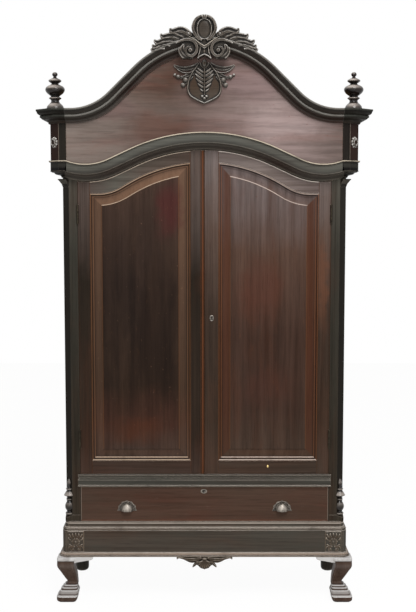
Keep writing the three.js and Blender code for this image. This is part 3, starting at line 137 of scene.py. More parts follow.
woods = {
    # Ebonised fruitwood, waxed: black stain with a grey-green bloom, brown and cream on the arrises, with wear
    # and a painted highlight where they face up
    "ebonised": {"name": "ebonised_fruitwood_waxed", "dark": "#302c27", "middle": "#46433d",
        "warm": "#40251c", "warmShare": 0.25, "cool": "#55564f", "coolShare": 0.4, "edge": "#cfc3b6",
        "sideEdge": "#6e665c", "arrisWearAndHighlight": 2.0},
    # The same on the moulding over the doors, whose lines are set along its profile: pale ones of wear and
    # painted highlight, dark ones of painted shade
    "moulding": {"name": "ebonised_moulding", "dark": "#403c36", "middle": "#58554e", "warm": "#3a1f18",
        "warmShare": 0.2, "cool": "#6c6d66", "coolShare": 0.5, "edge": "#cdbfab", "sideEdge": "#a09488",
        "arrisWearAndHighlight": 0.1},
    # The same on the cornice, greyer, with silvery painted highlights and painted shade set along its profile
    "cornice": {"name": "ebonised_cornice", "dark": "#3c3732", "middle": "#524d47", "warm": "#3e2018",
        "warmShare": 0.3, "cool": "#62635d", "coolShare": 0.5, "edge": "#b6b4ae", "sideEdge": "#94908a",
        "arrisWearAndHighlight": 0.1},
    # The same stain on the corner posts, with a nearly black painted shade on the cants and on the capitals
    "post": {"name": "ebonised_post", "warm": "#4a3226", "warmShare": 0.3, "coolShare": 0.0,
        "cant": "#1a1713", "edge": "#8a8074", "sideEdge": "#544c44", "arrisWearAndHighlight": 0.4, "specular": 0.04,
        "tones": (2, [(0.45, "#453e35"), (0.7, "#3c372f"), (1.5, "#403e37"), (1.85, "#5c5951")]),
        "spots": [(-0.62, 1.87, 0.06, 0.06, "#181712", 0.9), (0.62, 1.87, 0.06, 0.06, "#181712", 0.9)]},
    # Corner blocks of the hood: black front, the red of the wood showing on the cants, a pale line between
    "block": {"name": "ebonised_corner_block", "dark": "#181412", "middle": "#25201c", "warm": "#3a241c",
        "warmShare": 0.2, "cool": "#2e2f2a", "coolShare": 0.3, "cant": "#30201b", "edge": "#9a8e80",
        "sideEdge": "#94887c", "arrisWearAndHighlight": 0.3, "specular": 0.04, "bands": [(0, 0.6054, 0.6086, "#746a60")]},
    # The cornice's returns over them: the same black
    "return": {"name": "ebonised_cornice_return", "dark": "#181613", "middle": "#262520", "warm": "#3a241c",
        "warmShare": 0.15, "cool": "#3a3d37", "coolShare": 0.5, "edge": "#8c8a84", "sideEdge": "#6c6a64",
        "arrisWearAndHighlight": 0.1, "specular": 0.04},
    # Carved ebonised wood: old wax and painted shade in the hollows, ridges pale with wear and a silvery
    # painted highlight
    "carved": {"name": "ebonised_carving", "dark": "#2a2622", "middle": "#463f38", "warm": "#43301f",
        "warmShare": 0.3, "cool": "#66645e", "coolShare": 0.4, "edge": "#d6d2cc", "sideEdge": "#a89c90",
        "arrisWearAndHighlight": 0.1, "gloss": 0.36, "specular": 0.1, "patch": (24, 0.2, 0.55)},
    # Carved brown wood of the apron and the plinth's corners
    "brownCarved": {"name": "brown_carving", "dark": "#352b23", "middle": "#544639", "warm": "#5c4030",
        "warmShare": 0.4, "cool": "#6c665c", "coolShare": 0.3, "edge": "#cfc4b6", "sideEdge": "#a4927e",
        "arrisWearAndHighlight": 0.1, "patch": (24, 0.2, 0.6)},
    # Turned and polished finials and balusters
    "turned": {"name": "ebonised_turning_polished", "dark": "#120c0a", "middle": "#231a16", "warm": "#3a241c",
        "warmShare": 0.5, "cool": "#3a3630", "coolShare": 0.3, "edge": "#dcd0c6", "sideEdge": "#b0a498",
        "arrisWearAndHighlight": 0.0, "gloss": 0.3, "specular": 0.06, "coat": 0.5},
    # Rosewood veneer of the frieze: browner left of the middle, rose and grey to the right as a painted sheen
    "frieze": {"name": "rosewood_veneer_painted_sheen", "warm": "#7a463a", "warmShare": 0.35, "cool": "#8f827c",
        "coolShare": 0.3, "figure": 160, "edge": "#7a4a2c", "sideEdge": "#7a4a2c", "arrisWearAndHighlight": 0.2, "bump": 0.04,
        "streak": (240, 22, 0.16), "contrast": 0.8, "tones": (0, [(-0.57, "#8d8078"), (-0.14, "#594439"),
        (0.1, "#8a7571"), (0.3, "#aa9592"), (0.57, "#7c6c67")]),
        "spots": [(-0.2, 2.02, 0.15, 0.08, "#5e3a2e", 0.5), (0.34, 2.06, 0.22, 0.09, "#b09d9a", 0.6),
        (-0.36, 2.11, 0.12, 0.05, "#76605c", 0.6), (0.2, 2.2, 0.16, 0.08, "#86706f", 0.5)]},
    # Rosewood panels under French polish, the left one darker, the right one lighter and greyer towards the
    # top as a painted sheen
    "leftPanel": {"name": "rosewood_panel_dark", "warm": "#7e604c", "warmShare": 0.08, "coolShare": 0.0,
        "edge": "#d8c0a8", "sideEdge": "#8a5c3a", "arrisWearAndHighlight": 0.0, "bump": 0.04, "streak": (900, 20, 0.12),
        "tones": (2, [(0.63, "#51423a"), (0.78, "#4a3026"), (0.95, "#2e2119"), (1.35, "#2b1f19"),
        (1.87, "#4c3a31")]), "spots": [(-0.15, 1.7, 0.07, 0.13, "#4c2422", 0.7),
        (-0.3, 0.75, 0.12, 0.08, "#55301f", 0.5)]},
    "rightPanel": {"like": "leftPanel", "name": "rosewood_panel_painted_sheen", "warm": "#54301f",
        "warmShare": 0.35, "edge": "#e4d2c6", "sideEdge": "#8a5834", "tones": (2, [(0.63, "#54443a"),
        (0.85, "#49362d"), (1.15, "#48342b"), (1.5, "#5f483d"), (1.8, "#746866")]),
        "spots": [(0.24, 1.36, 0.12, 0.14, "#5a3428", 0.5), (0.27, 0.95, 0.12, 0.1, "#4e3027", 0.4)]},
    # Door frames: the same wood with a darker, duller polish, lighter and greyer towards the top as a painted
    # sheen
    "leftFrame": {"name": "rosewood_frame_dark", "warm": "#4e2e20", "warmShare": 0.3, "coolShare": 0.0,
        "edge": "#cdbcaa", "sideEdge": "#5e3c28", "arrisWearAndHighlight": 1.2, "bump": 0.06,
        "bands": [(0, 0.003, 0.0105, "#6e4026")], "tones": (2, [(0.56, "#4e3e36"), (0.72, "#392c23"),
        (1.4, "#292119"), (1.74, "#60534d"), (1.9, "#675b55")])},
    "rightFrame": {"like": "leftFrame", "name": "rosewood_frame_painted_sheen", "warm": "#5a3a2a",
        "edge": "#dccabb", "sideEdge": "#5e4230", "bands": [], "tones": (2, [(0.56, "#51433a"),
        (0.8, "#43352b"), (1.25, "#45372e"), (1.6, "#625047"), (1.9, "#7e7370")]),
        "spots": [(0.5, 1.4, 0.034, 0.22, "#6b4633", 0.65)]},
    # The right door's top rail: lighter towards the middle as a painted sheen, its top arris near white with
    # wear and a painted highlight
    "rightHead": {"name": "rosewood_head_rail_painted_sheen", "warm": "#6a4438", "warmShare": 0.2, "coolShare": 0.0,
        "edge": "#f4e8dc", "sideEdge": "#5e4230", "arrisWearAndHighlight": 0.9, "arrisRadius": 4.0, "bump": 0.06,
        "patch": (60, 0.0, 0.3), "streak": (300, 9, 0.1), "tones": (0, [(0.06, "#7a6f6b"), (0.25, "#8e817c"),
        (0.49, "#7a6c68")])},
    "leftHead": {"name": "rosewood_head_rail_dark", "warm": "#5a3a30", "warmShare": 0.25, "coolShare": 0.0,
        "edge": "#cdbcaa", "sideEdge": "#5e3c28", "arrisWearAndHighlight": 0.9, "arrisRadius": 4.0, "bump": 0.06,
        "streak": (300, 9, 0.14), "tones": (0, [(-0.49, "#625650"), (-0.38, "#67645c"), (-0.06, "#5c4c44")])},
    # Plinth: black stain worn thin over brown wood, pale on every ledge and along the base moulding with wear
    # and a painted highlight
    "plinth": {"name": "ebonised_plinth_worn", "dark": "#433a32", "middle": "#554c44", "warm": "#573e30",
        "warmShare": 0.35, "cool": "#4a4b45", "coolShare": 0.7, "edge": "#d8ccc0", "sideEdge": "#8c7c6a",
        "arrisWearAndHighlight": 1.4, "arrisRadius": 4.2, "figure": 260, "streak": (500, 8, 0.1),
        "bands": [(2, 0.2, 0.2036, "#a0907f"), (2, 0.2036, 0.2088, "#33261c"),
        (2, 0.2088, 0.2165, "#9c8979")]},
    # Board over it, whose top edge shows as a second pale line under the drawer, of wear and a painted
    # highlight
    "stand": {"like": "plinth", "name": "ebonised_stand_board", "edge": "#cfc3b6", "streak": (800, 6, 0.14),
        "bands": [(2, 0.3405, 0.347, "#b8aca0")]},
    # Drawer front: brown polish
    "drawer": {"name": "rosewood_drawer_front", "dark": "#463329", "middle": "#584237", "warm": "#5a3024",
        "warmShare": 0.35, "cool": "#50443a", "coolShare": 0.5, "edge": "#b89880", "sideEdge": "#8f8074",
        "figure": 260, "bump": 0.05, "arrisWearAndHighlight": 1.3, "arrisRadius": 3.4, "streak": (400, 12, 0.08),
        "bands": [(0, 0.5325, 0.5375, "#8c7e72"), (2, 0.352, 0.3572, "#7c4a36")]},
    # Legs: brown wood, waxed, pale grey on every ledge with wear and a painted highlight
    "leg": {"name": "brown_leg_worn", "dark": "#433229", "middle": "#5f4d43", "warm": "#583a31",
        "warmShare": 0.4, "cool": "#665c54", "coolShare": 0.2, "edge": "#e4e2e0", "sideEdge": "#dedad6",
        "arrisWearAndHighlight": 0.1, "figure": 160},
    # Case sides and the rails behind the doors
    "side": {"name": "stained_case_side", "dark": "#2a1f18", "middle": "#3c2e25", "warm": "#4a2e20",
        "warmShare": 0.4, "cool": "#463d36", "coolShare": 0.4, "edge": "#6a5442", "sideEdge": "#5a4434"},
    # Planed pine inside, browned with age
    "inner": {"name": "pine_planed", "dark": "#7a5c3c", "middle": "#a07c54", "warm": "#8a5c34",
        "warmShare": 0.4, "cool": "#8f8270", "coolShare": 0.3, "edge": "#b8966f", "sideEdge": "#b8966f",
        "arrisWearAndHighlight": 0.3, "gloss": 0.65, "bump": 0.2, "contrast": 1.4},
}


def rubbedNormal(tree, radius):
    # Rounded normal, and how far it turns from the flat one: large only at an arris
    rounded = addNode(tree, "ShaderNodeBevel", {"Radius": radius * mm}, samples=4)
    flat = addNode(tree, "ShaderNodeNewGeometry").outputs["True Normal"]
    turn = addNode(tree, vectorNode, [rounded, flat], operation="DOT_PRODUCT")
    return rounded, addNode(tree, mathNode, [1.0, turn], operation="SUBTRACT")


def woodMaterial(kind, grain):
    wood = {**plainWood, **woods.get(woods[kind].get("like"), {}), **woods[kind]}
    name = wood["name"] + "_" + grain
    if name in materials:
        return materials[name]
    tree, shader = newMaterial(name)
    source = addNode(tree, "ShaderNodeTexCoord")
    place = source.outputs["Object"]
    lengthwise = {"across": 0, "deep": 1, "upright": 2}[grain]
    # Patterns: length and width of their patches, detail, roughness and distortion.
    # Pores are drawn 2 mm wide, coarser than real ones, so that they show.
    streakLong, streakWide, streakDepth = wood["streak"]
    patch, leastWorn, mostWorn = wood["patch"]
    fields = {
        "figure": (wood["figure"] * 4, wood["figure"] * 0.16, 4, 0.55, 0.6),
        "streak": (streakLong, streakWide, 4, 0.6, 0.3), "pores": (90, 2, 2, 0.6),
        "worn": (420, 80, 5, 0.6, 0.4), "cloud": (700, 300, 4, 0.55), "nicks": (16, 8, 2, 0.5),
        "scuffs": (60, 12, 5, 0.7), "patchy": (patch, patch, 5, 0.65), "stir": (160, 160, 4, 0.6)}
    for word, (along, aside, *settings) in fields.items():
        size = [along if axis == lengthwise else aside for axis in range(3)]
        fields[word] = patches(tree, place, size, *settings)
    for word in ("rubShading", "warm"):
        fields[word] = addNode(tree, "ShaderNodeAttribute", attribute_name=word).outputs["Fac"]
    rounded, turned = rubbedNormal(tree, wood["arrisRadius"])
    facing = addNode(tree, splitNode, [source.outputs["Normal"]])
    canted = addNode(tree, mathNode, [facing.outputs["X"], facing.outputs["Y"]], operation="MULTIPLY")
    fields["canted"] = addNode(tree, mathNode, [canted], operation="ABSOLUTE")
    # Arrises facing up take the paler edge colour: a painted highlight from above
    toplight = addNode(tree, splitNode, [rounded]).outputs["Z"]
    fields["toplight"] = addNode(tree, mathNode, [toplight], operation="ABSOLUTE")
    # Masks: the pattern each follows, where it starts, where it is full, and its strength
    masks = {
        "thin": ("worn", 0.42, 0.74, wood["warmShare"]), "bloom": ("cloud", 0.32, 0.66, wood["coolShare"]),
        "lines": ("streak", 0.56, 0.34, streakDepth), "nicks": ("nicks", 0.7, 0.76, 0.4),
        "scuffs": ("scuffs", 0.6, 0.8, 0.14), "patchy": ("patchy", leastWorn, mostWorn, 1.0),
        "broken": ("patchy", 0.05, 0.5, 0.92), "toplight": ("toplight", 0.12, 0.42, 1.0),
        "ridge": ("rubShading", 0.62, 0.9, 1.0), "canted": ("canted", 0.3, 0.4, 0.85 if wood["cant"] else 0.0)}
    for word, (field, start, full, strength) in masks.items():
        masks[word] = addNode(tree, rangeNode, [fields[field], start, full, 0.0, strength],
                              interpolation_type="SMOOTHSTEP")
    # The place stirred about, so that no tone or stain has a ruled edge
    stirred = addNode(tree, vectorNode, [fields["stir"].outputs["Color"], (0.18,) * 3, place],
                      operation="MULTIPLY_ADD")
    stirred = addNode(tree, vectorNode, [stirred, (0.09,) * 3], operation="SUBTRACT")
    grainTone = addNode(tree, mixNode, {0: 0.35, 2: fields["figure"], 3: fields["streak"]})
    reach = 0.16 / wood["contrast"]
    if wood["tones"]:
        axis, tones = wood["tones"]
        first, last = tones[0][0], tones[-1][0]
        level = addNode(tree, splitNode, [stirred]).outputs[axis]
        level = addNode(tree, rangeNode, [level, first, last, 0.0, 1.0])
        stops = [((at - first) / (last - first), tone) for at, tone in tones]
        toned = addNode(tree, rampNode, [level], stops)
        shade = addNode(tree, rampNode, [grainTone], [(0.5 - reach, "#c0bcb8"), (0.5 + reach, "#ffffff")])
        colour = addNode(tree, mixNode, {0: 1.0, 6: toned, 7: shade}, data_type="RGBA", blend_type="MULTIPLY")
    else:
        stops = [(0.5 - reach, wood["dark"]), (0.5 + reach, wood["middle"])]
        colour = addNode(tree, rampNode, [grainTone], stops)
    # Layers of colour from the bottom up: warm wood, bloom, stains (with painted sheen and shade on some
    # woods), dark lines, nicks, scuffs, the cant's colour (a painted shade on the posts), dirt with painted
    # shade, and the bands' lines
    warmth = addNode(tree, mathNode, [masks["thin"], fields["warm"]], operation="MAXIMUM")
    # Below 0 a point's value darkens it: dirt, and painted shade in hollows and grooves
    dirtAndShade = addNode(tree, mathNode, [fields["rubShading"], -1.0], operation="MULTIPLY", use_clamp=True)
    layers = [(warmth, wood["warm"]), (masks["bloom"], wood["cool"])]
    for x, z, reachX, reachZ, tone, strength in wood["spots"]:
        away = addNode(tree, vectorNode, [stirred, (x, 0, z)], operation="SUBTRACT")
        away = addNode(tree, vectorNode, [away, (1 / reachX, 0, 1 / reachZ)], operation="MULTIPLY")
        away = addNode(tree, vectorNode, [away], operation="LENGTH")
        stain = addNode(tree, rangeNode, [away, 1.2, 0.3, 0.0, strength], interpolation_type="SMOOTHSTEP")
        layers.append((stain, tone))
    layers += [(masks["lines"], wood["hollow"]), (masks["nicks"], wood["warm"]),
               (masks["scuffs"], wood["sideEdge"]), (masks["canted"], wood["cant"] or wood["hollow"]),
               (dirtAndShade, wood["hollow"])]
    levels = addNode(tree, splitNode, [place])
    for axis, low, high, tone in wood["bands"]:
        away = addNode(tree, mathNode, [levels.outputs[axis]], operation="ABSOLUTE")
        above = addNode(tree, rangeNode, [away, low, low + mm, 0.0, 1.0])
        below = addNode(tree, rangeNode, [away, high, high - mm, 0.0, 1.0])
        band = addNode(tree, mathNode, [above, below], operation="MULTIPLY")
        layers.append((addNode(tree, mathNode, [band, masks["broken"]], operation="MULTIPLY"), tone))
    for share, tone in layers:
        colour = addNode(tree, mixNode, {0: share, 6: colour, 7: linear(tone)}, data_type="RGBA")
    # Pale arrises and ridges, wear with a painted highlight, palest where they face up as if lit from above
    arrisWearAndHighlight = addNode(tree, mathNode, [turned, 9 * wood["arrisWearAndHighlight"]], operation="MULTIPLY", use_clamp=True)
    wearAndHighlight = addNode(tree, mathNode, [arrisWearAndHighlight, fields["rubShading"]], operation="MAXIMUM", use_clamp=True)
    wearAndHighlight = addNode(tree, mathNode, [wearAndHighlight, masks["patchy"]], operation="MULTIPLY")
    palest = addNode(tree, mathNode, [masks["toplight"], masks["ridge"]], operation="MAXIMUM")
    pale = addNode(tree, mixNode, {0: palest, 6: linear(wood["sideEdge"]), 7: linear(wood["edge"])},
                   data_type="RGBA")
    poreShade = addNode(tree, rampNode, [fields["pores"]], [(0.3, "#dadada"), (0.44, "#ffffff")])
    colour = addNode(tree, mixNode, {0: 1.0, 6: colour, 7: poreShade}, data_type="RGBA",
                     blend_type="MULTIPLY")
    colour = addNode(tree, mixNode, {0: wearAndHighlight, 6: colour, 7: pale}, data_type="RGBA")
    dull = addNode(tree, rangeNode, [fields["cloud"], 0.3, 0.7, wood["gloss"] - 0.06, wood["gloss"] + 0.1])
    bump = addNode(tree, "ShaderNodeBump", {"Strength": wood["bump"], "Distance": 0.4 * mm,
                                            "Height": fields["pores"], "Normal": rounded})
    feed(tree, shader, {"Base Color": colour, "Roughness": dull, "IOR": 1.5,
                        "Specular IOR Level": wood["specular"], "Coat Weight": wood["coat"],
                        "Coat Roughness": 0.12, "Normal": bump})
    return materials[name]


metals = {
    # Cast white metal of the pulls and keyhole plates: tarnished, with painted shade in the hollows and inside
    # the cup and a silvery painted highlight on the cup
    "castWhite": {"name": "white_metal_cast", "dark": "#2c2621", "light": "#8a8278", "edge": "#cfc6bc",
        "rough": 0.42, "size": 8},
    # Iron of the locks and the slide bolt, oiled brown
    "iron": {"name": "iron_forged_oiled", "dark": "#2a2420", "light": "#5c544c", "edge": "#9a9288",
        "rough": 0.5, "size": 12},
    # Rolled brass of the hinges, gone nearly black
    "hinge": {"name": "brass_rolled_darkened", "dark": "#1a1612", "light": "#3c352a", "edge": "#5e5342",
        "rough": 0.46, "size": 14},
    # Brass of the bolts, screws and the tack, rubbed bright
    "brass": {"name": "brass_turned_bright", "dark": "#a8843c", "light": "#e0bc70", "edge": "#f4dc9c",
        "rough": 0.28, "size": 12},
}


def metalMaterial(kind):
    metal = metals[kind]
    name = metal["name"]
    if name in materials:
        return materials[name]
    tree, shader = newMaterial(name)
    place = addNode(tree, "ShaderNodeTexCoord").outputs["Object"]
    tarnish = patches(tree, place, [metal["size"]] * 3, 5, 0.65)
    colour = addNode(tree, rampNode, [tarnish], [(0.38, metal["dark"]), (0.62, metal["light"])])
    # A point's value below 0 paints it dark as shade; above 0, like the arrises, it takes the pale edge colour
    # of wear and a painted highlight
    rubShading = addNode(tree, "ShaderNodeAttribute", attribute_name="rubShading").outputs["Fac"]
    deep = addNode(tree, mathNode, [rubShading, -1.0], operation="MULTIPLY", use_clamp=True)
    colour = addNode(tree, mixNode, {0: deep, 6: colour, 7: linear("#14110f")}, data_type="RGBA")
    rounded, turned = rubbedNormal(tree, 1.0)
    edge = addNode(tree, mathNode, [turned, 4.0], operation="MULTIPLY", use_clamp=True)
    edge = addNode(tree, mathNode, [edge, rubShading], operation="MAXIMUM", use_clamp=True)
    colour = addNode(tree, mixNode, {0: edge, 6: colour, 7: linear(metal["edge"])}, data_type="RGBA")
    rough = addNode(tree, rangeNode, [tarnish, 0.3, 0.7, metal["rough"] - 0.06, metal["rough"] + 0.12])
    # Pits of a casting, 1.5 mm apart
    pitting = patches(tree, place, [1.5] * 3, 2, 0.6)
    bump = addNode(tree, "ShaderNodeBump", {"Strength": 0.15, "Distance": 0.2 * mm, "Height": pitting,
                                            "Normal": rounded})
    feed(tree, shader, {"Base Color": colour, "Metallic": 0.9, "Roughness": rough, "Normal": bump})
    return materials[name]


def keyholeShade():
    # Painted shade for the keyhole: a near-black shape standing in for the shadow inside the hole, with no
    # shine
    name = "keyhole_shade"
    if name not in materials:
        tree, shader = newMaterial(name)
        place = addNode(tree, "ShaderNodeTexCoord").outputs["Object"]
        holeShadow = patches(tree, place, [2, 2, 2])
        holeShadow = addNode(tree, rampNode, [holeShadow], [(0.3, "#050404"), (0.7, "#120f0c")])
        feed(tree, shader, {"Base Color": holeShadow, "Roughness": 0.9})
    return materials[name]


# Making pieces. Each point carries a value for wear and painted light: above 0 it is pale with wear and a
# painted highlight, below 0 dark with dirt and a painted shade.
def newBody():
    bm = bmesh.new()
    for word in ("rubShading", "warm"):
        bm.verts.layers.float.new(word)
    return bm


def meshFrom(bm, name):
    bmesh.ops.remove_doubles(bm, verts=bm.verts, dist=1e-6)
    bmesh.ops.recalc_face_normals(bm, faces=bm.faces)
    mesh = bpy.data.meshes.new(name)
    bm.to_mesh(mesh)
    bm.free()
    return mesh


def addPiece(name, shape, material, replaced=None, sharpAngle=40, body="carcase"):
    # shape is a mesh, or a body that becomes one
    mesh = shape if isinstance(shape, bpy.types.Mesh) else meshFrom(shape, name)
    mesh.materials.clear()
    mesh.materials.append(material)
    mesh.shade_smooth()
    mesh.set_sharp_from_angle(angle=math.radians(sharpAngle))
    piece = bpy.data.objects.new(name, mesh)
    bpy.context.scene.collection.objects.link(piece)
    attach(piece, body)
    if replaced:
        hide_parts(replaced)


def addRings(bm, rings, rubShadings=None, warms=None):
    # The values of wear and painted light, and the warmths, hold one value for each ring, or a list of one for
    # each point of it
    layers = [bm.verts.layers.float["rubShading"], bm.verts.layers.float["warm"]]
    made = []
    for i, ring in enumerate(rings):
        made.append([bm.verts.new(point) for point in ring])
        for layer, values in zip(layers, (rubShadings, warms)):
            for j, vertex in enumerate(made[-1] if values else ()):
                vertex[layer] = values[i][j] if isinstance(values[i], list) else values[i]
    for first, second in zip(made, made[1:]):
        for j in range(len(first)):
            k = (j + 1) % len(first)
            bm.faces.new((first[j], first[k], second[k], second[j]))
    bm.faces.new(made[0])
    bm.faces.new(made[-1])


def circle(count, wide=1.0, tall=None):
    # Points round a circle or an ellipse
    tall = wide if tall is None else tall
    turns = [2 * math.pi * i / count for i in range(count)]
    return [(wide * math.cos(turn), tall * math.sin(turn)) for turn in turns]


def sweepMesh(name, stations, profile, shades=None):
    # profile points are reach, height, the value of wear and painted light (painted shade below 0) and warmth;
    # shades darken whole stations
    bm = newBody()
    rubShadings = [[min(rubShading, 0.2) - shade if shade and rubShading <= 0.9 else rubShading for p, h, rubShading, warm in profile]
            for shade in shades or [0] * len(stations)]
    addRings(bm, [[at + out * p + up * h for p, h, *rest in profile] for at, out, up in stations], rubShadings,
             [[point[3] for point in profile]] * len(stations))
    return meshFrom(bm, name)


def smoothCurve(points, steps=6):
    # Catmull-Rom through the points
    result = []
    count = len(points)
    for i in range(count - 1):
        p0, p1 = points[max(0, i - 1)], points[i]
        p2, p3 = points[i + 1], points[min(count - 1, i + 2)]
        for t in (s / steps for s in range(steps)):
            result.append(tuple(0.5 * (2 * b + (c - a) * t + (2 * a - 5 * b + 4 * c - d) * t * t
                                       + (3 * b - a - 3 * c + d) * t ** 3)
                                for a, b, c, d in zip(p0, p1, p2, p3)))
    result.append(tuple(points[-1]))
    return result


def quarter(start, end, steps, acrossFirst, rubShading=0.0, warm=0.0, lastRubShading=None):
    # Quarter ellipse between two points of a profile
    lastRubShading = rubShading if lastRubShading is None else lastRubShading
    made = []
    for i in range(1, steps + 1):
        turn = math.pi / 2 * i / steps
        s, c = math.sin(turn), 1 - math.cos(turn)
        u, v = (s, c) if acrossFirst else (c, s)
        made.append((start[0] + (end[0] - start[0]) * u, start[1] + (end[1] - start[1]) * v,
                     rubShading + (lastRubShading - rubShading) * i / steps, warm))
    return made


def ogee(start, end, steps, rubShading=0.0, warm=0.0):
    middle = ((start[0] + end[0]) / 2, (start[1] + end[1]) / 2)
    return quarter(start, middle, steps, False, rubShading, warm) + quarter(middle, end, steps, True, rubShading, warm)


# Trees of Geometry Nodes, each used through a passing object and baked to a plain mesh
def newTree(name, inputs):
    tree = bpy.data.node_groups.new(name, "GeometryNodeTree")
    for label, kind in {"Geometry": "Geometry", **inputs, "Material": "Material"}.items():
        tree.interface.new_socket(label, in_out="INPUT", socket_type="NodeSocket" + kind)
    tree.interface.new_socket("Geometry", in_out="OUTPUT", socket_type="NodeSocketGeometry")
    return tree, addNode(tree, "NodeGroupInput")


def endTree(tree, given, shape):
    real = addNode(tree, "GeometryNodeRealizeInstances", [shape])
    painted = addNode(tree, "GeometryNodeSetMaterial", {"Geometry": real,
                                                        "Material": given.outputs["Material"]})
    addNode(tree, "NodeGroupOutput", [painted])
    return tree


def bakeTree(tree, mesh, material, values):
    holder = bpy.data.objects.new(tree.name, mesh)
    bpy.context.scene.collection.objects.link(holder)
    modifier = holder.modifiers.new(tree.name, "NODES")
    modifier.node_group = tree
    values = {**values, "Material": material}
    for item in tree.interface.items_tree:
        if item.in_out == "INPUT" and item.name in values:
            modifier[item.identifier] = values[item.name]
    graph = bpy.context.evaluated_depsgraph_get()
    made = bpy.data.meshes.new_from_object(holder.evaluated_get(graph), depsgraph=graph)
    holder.modifiers.clear()
    bpy.data.objects.remove(holder)
    return made


# Arches, as the case maker set them out: a crown arc, a straight slope and an end arc
archSettings = {
    "head": {"shoulder": 40 * mm, "rise": 132 * mm, "bend": 0.963, "end": 0.233},
    "cornice": {"shoulder": 23.5 * mm, "rise": 286 * mm, "bend": 0.944, "end": 0.348},
    "panel": {"shoulder": 35 * mm, "rise": 132 * mm, "bend": 0.996, "end": 0.229}}


class Arch:
    def __init__(self, span, rise, endRadius, crownRadius, low, risesAgain=False):
        self.span, self.rise, self.endRadius, self.crownRadius = span, rise, endRadius, crownRadius
        self.low, self.risesAgain = low, risesAgain
        down = endRadius + crownRadius - rise
        self.slope = math.asin((endRadius + crownRadius) / math.hypot(span, down)) - math.atan2(down, span)
        self.crownEnd = crownRadius * math.sin(self.slope)
        self.endStart = span - endRadius * math.sin(self.slope)

    def height(self, x):
        across = abs(x)
        top = self.low + self.rise
        if across <= self.crownEnd:
            return top - self.crownRadius + math.sqrt(self.crownRadius ** 2 - across ** 2)
        if across < self.endStart:
            return (top - self.crownRadius * (1 - math.cos(self.slope))
                    - (across - self.crownEnd) * math.tan(self.slope))
        if across > self.span and not self.risesAgain:
            return self.low
        return self.low + self.endRadius - math.sqrt(self.endRadius ** 2 - (across - self.span) ** 2)

    def tilt(self, x):
        across = abs(x)
        side = math.copysign(1, x)
        if across <= self.crownEnd:
            return side * math.asin(across / self.crownRadius)
        if across < self.endStart:
            return side * self.slope
        if across > self.span and not self.risesAgain:
            return 0.0
        return side * math.asin((self.span - across) / self.endRadius)

    def offset(self, distance):
        return Arch(self.span, self.rise, self.endRadius - distance, self.crownRadius + distance,
                    self.low + distance, self.risesAgain)


def fitArch(kind, halfWidth, low, risesAgain=False):
    s = archSettings[kind]
    span = halfWidth - s["shoulder"]
    both = s["bend"] * (span ** 2 + s["rise"] ** 2) / (2 * s["rise"])
    return Arch(span, s["rise"], s["end"] * both, both - s["end"] * both, low, risesAgain)


headMouldHeight = 70 * mm
headLow = highest["door_head_moulding"].z - archSettings["head"]["rise"]
headLine = fitArch("head", openHalf, headLow, True)
corniceLine = fitArch("cornice", blockInner, corniceTop)
doorLine = fitArch("head", openHalf, headLow).offset(-headMouldHeight - 2.8 * mm)
panelFrame = {"hingeStile": 52 * mm, "meetingStile": 59 * mm, "topRail": 50 * mm, "bottomRail": 59 * mm}
panelRight = openHalf - panelFrame["hingeStile"]
panelLeft = panelFrame["meetingStile"]
panelLow = doorLow + panelFrame["bottomRail"]
panelLine = fitArch("panel", panelRight, doorLine.low - panelFrame["topRail"])


def archStations(line, places, y):
    made = []
    for x in places:
        tilt = line.tilt(x)
        made.append((Vector((x, y, line.height(x))), Vector((0, -1, 0)),
                     Vector((math.sin(tilt), 0, math.cos(tilt)))))
    return made


def planStations(points, z):
    normals = []
    for (ax, ay), (bx, by) in zip(points, points[1:]):
        length = math.hypot(bx - ax, by - ay)
        normals.append(Vector(((by - ay) / length, (ax - bx) / length, 0)))
    made = []
    for i, (x, y) in enumerate(points):
        before = normals[max(0, i - 1)]
        after = normals[min(len(normals) - 1, i)]
        out = (before + after).normalized()
        out = out / out.dot(after)
        made.append((Vector((x, y, z)), out, Vector((0, 0, 1))))
    return made


def spread(start, end, steps):
    return [start + (end - start) * i / steps for i in range(steps + 1)]


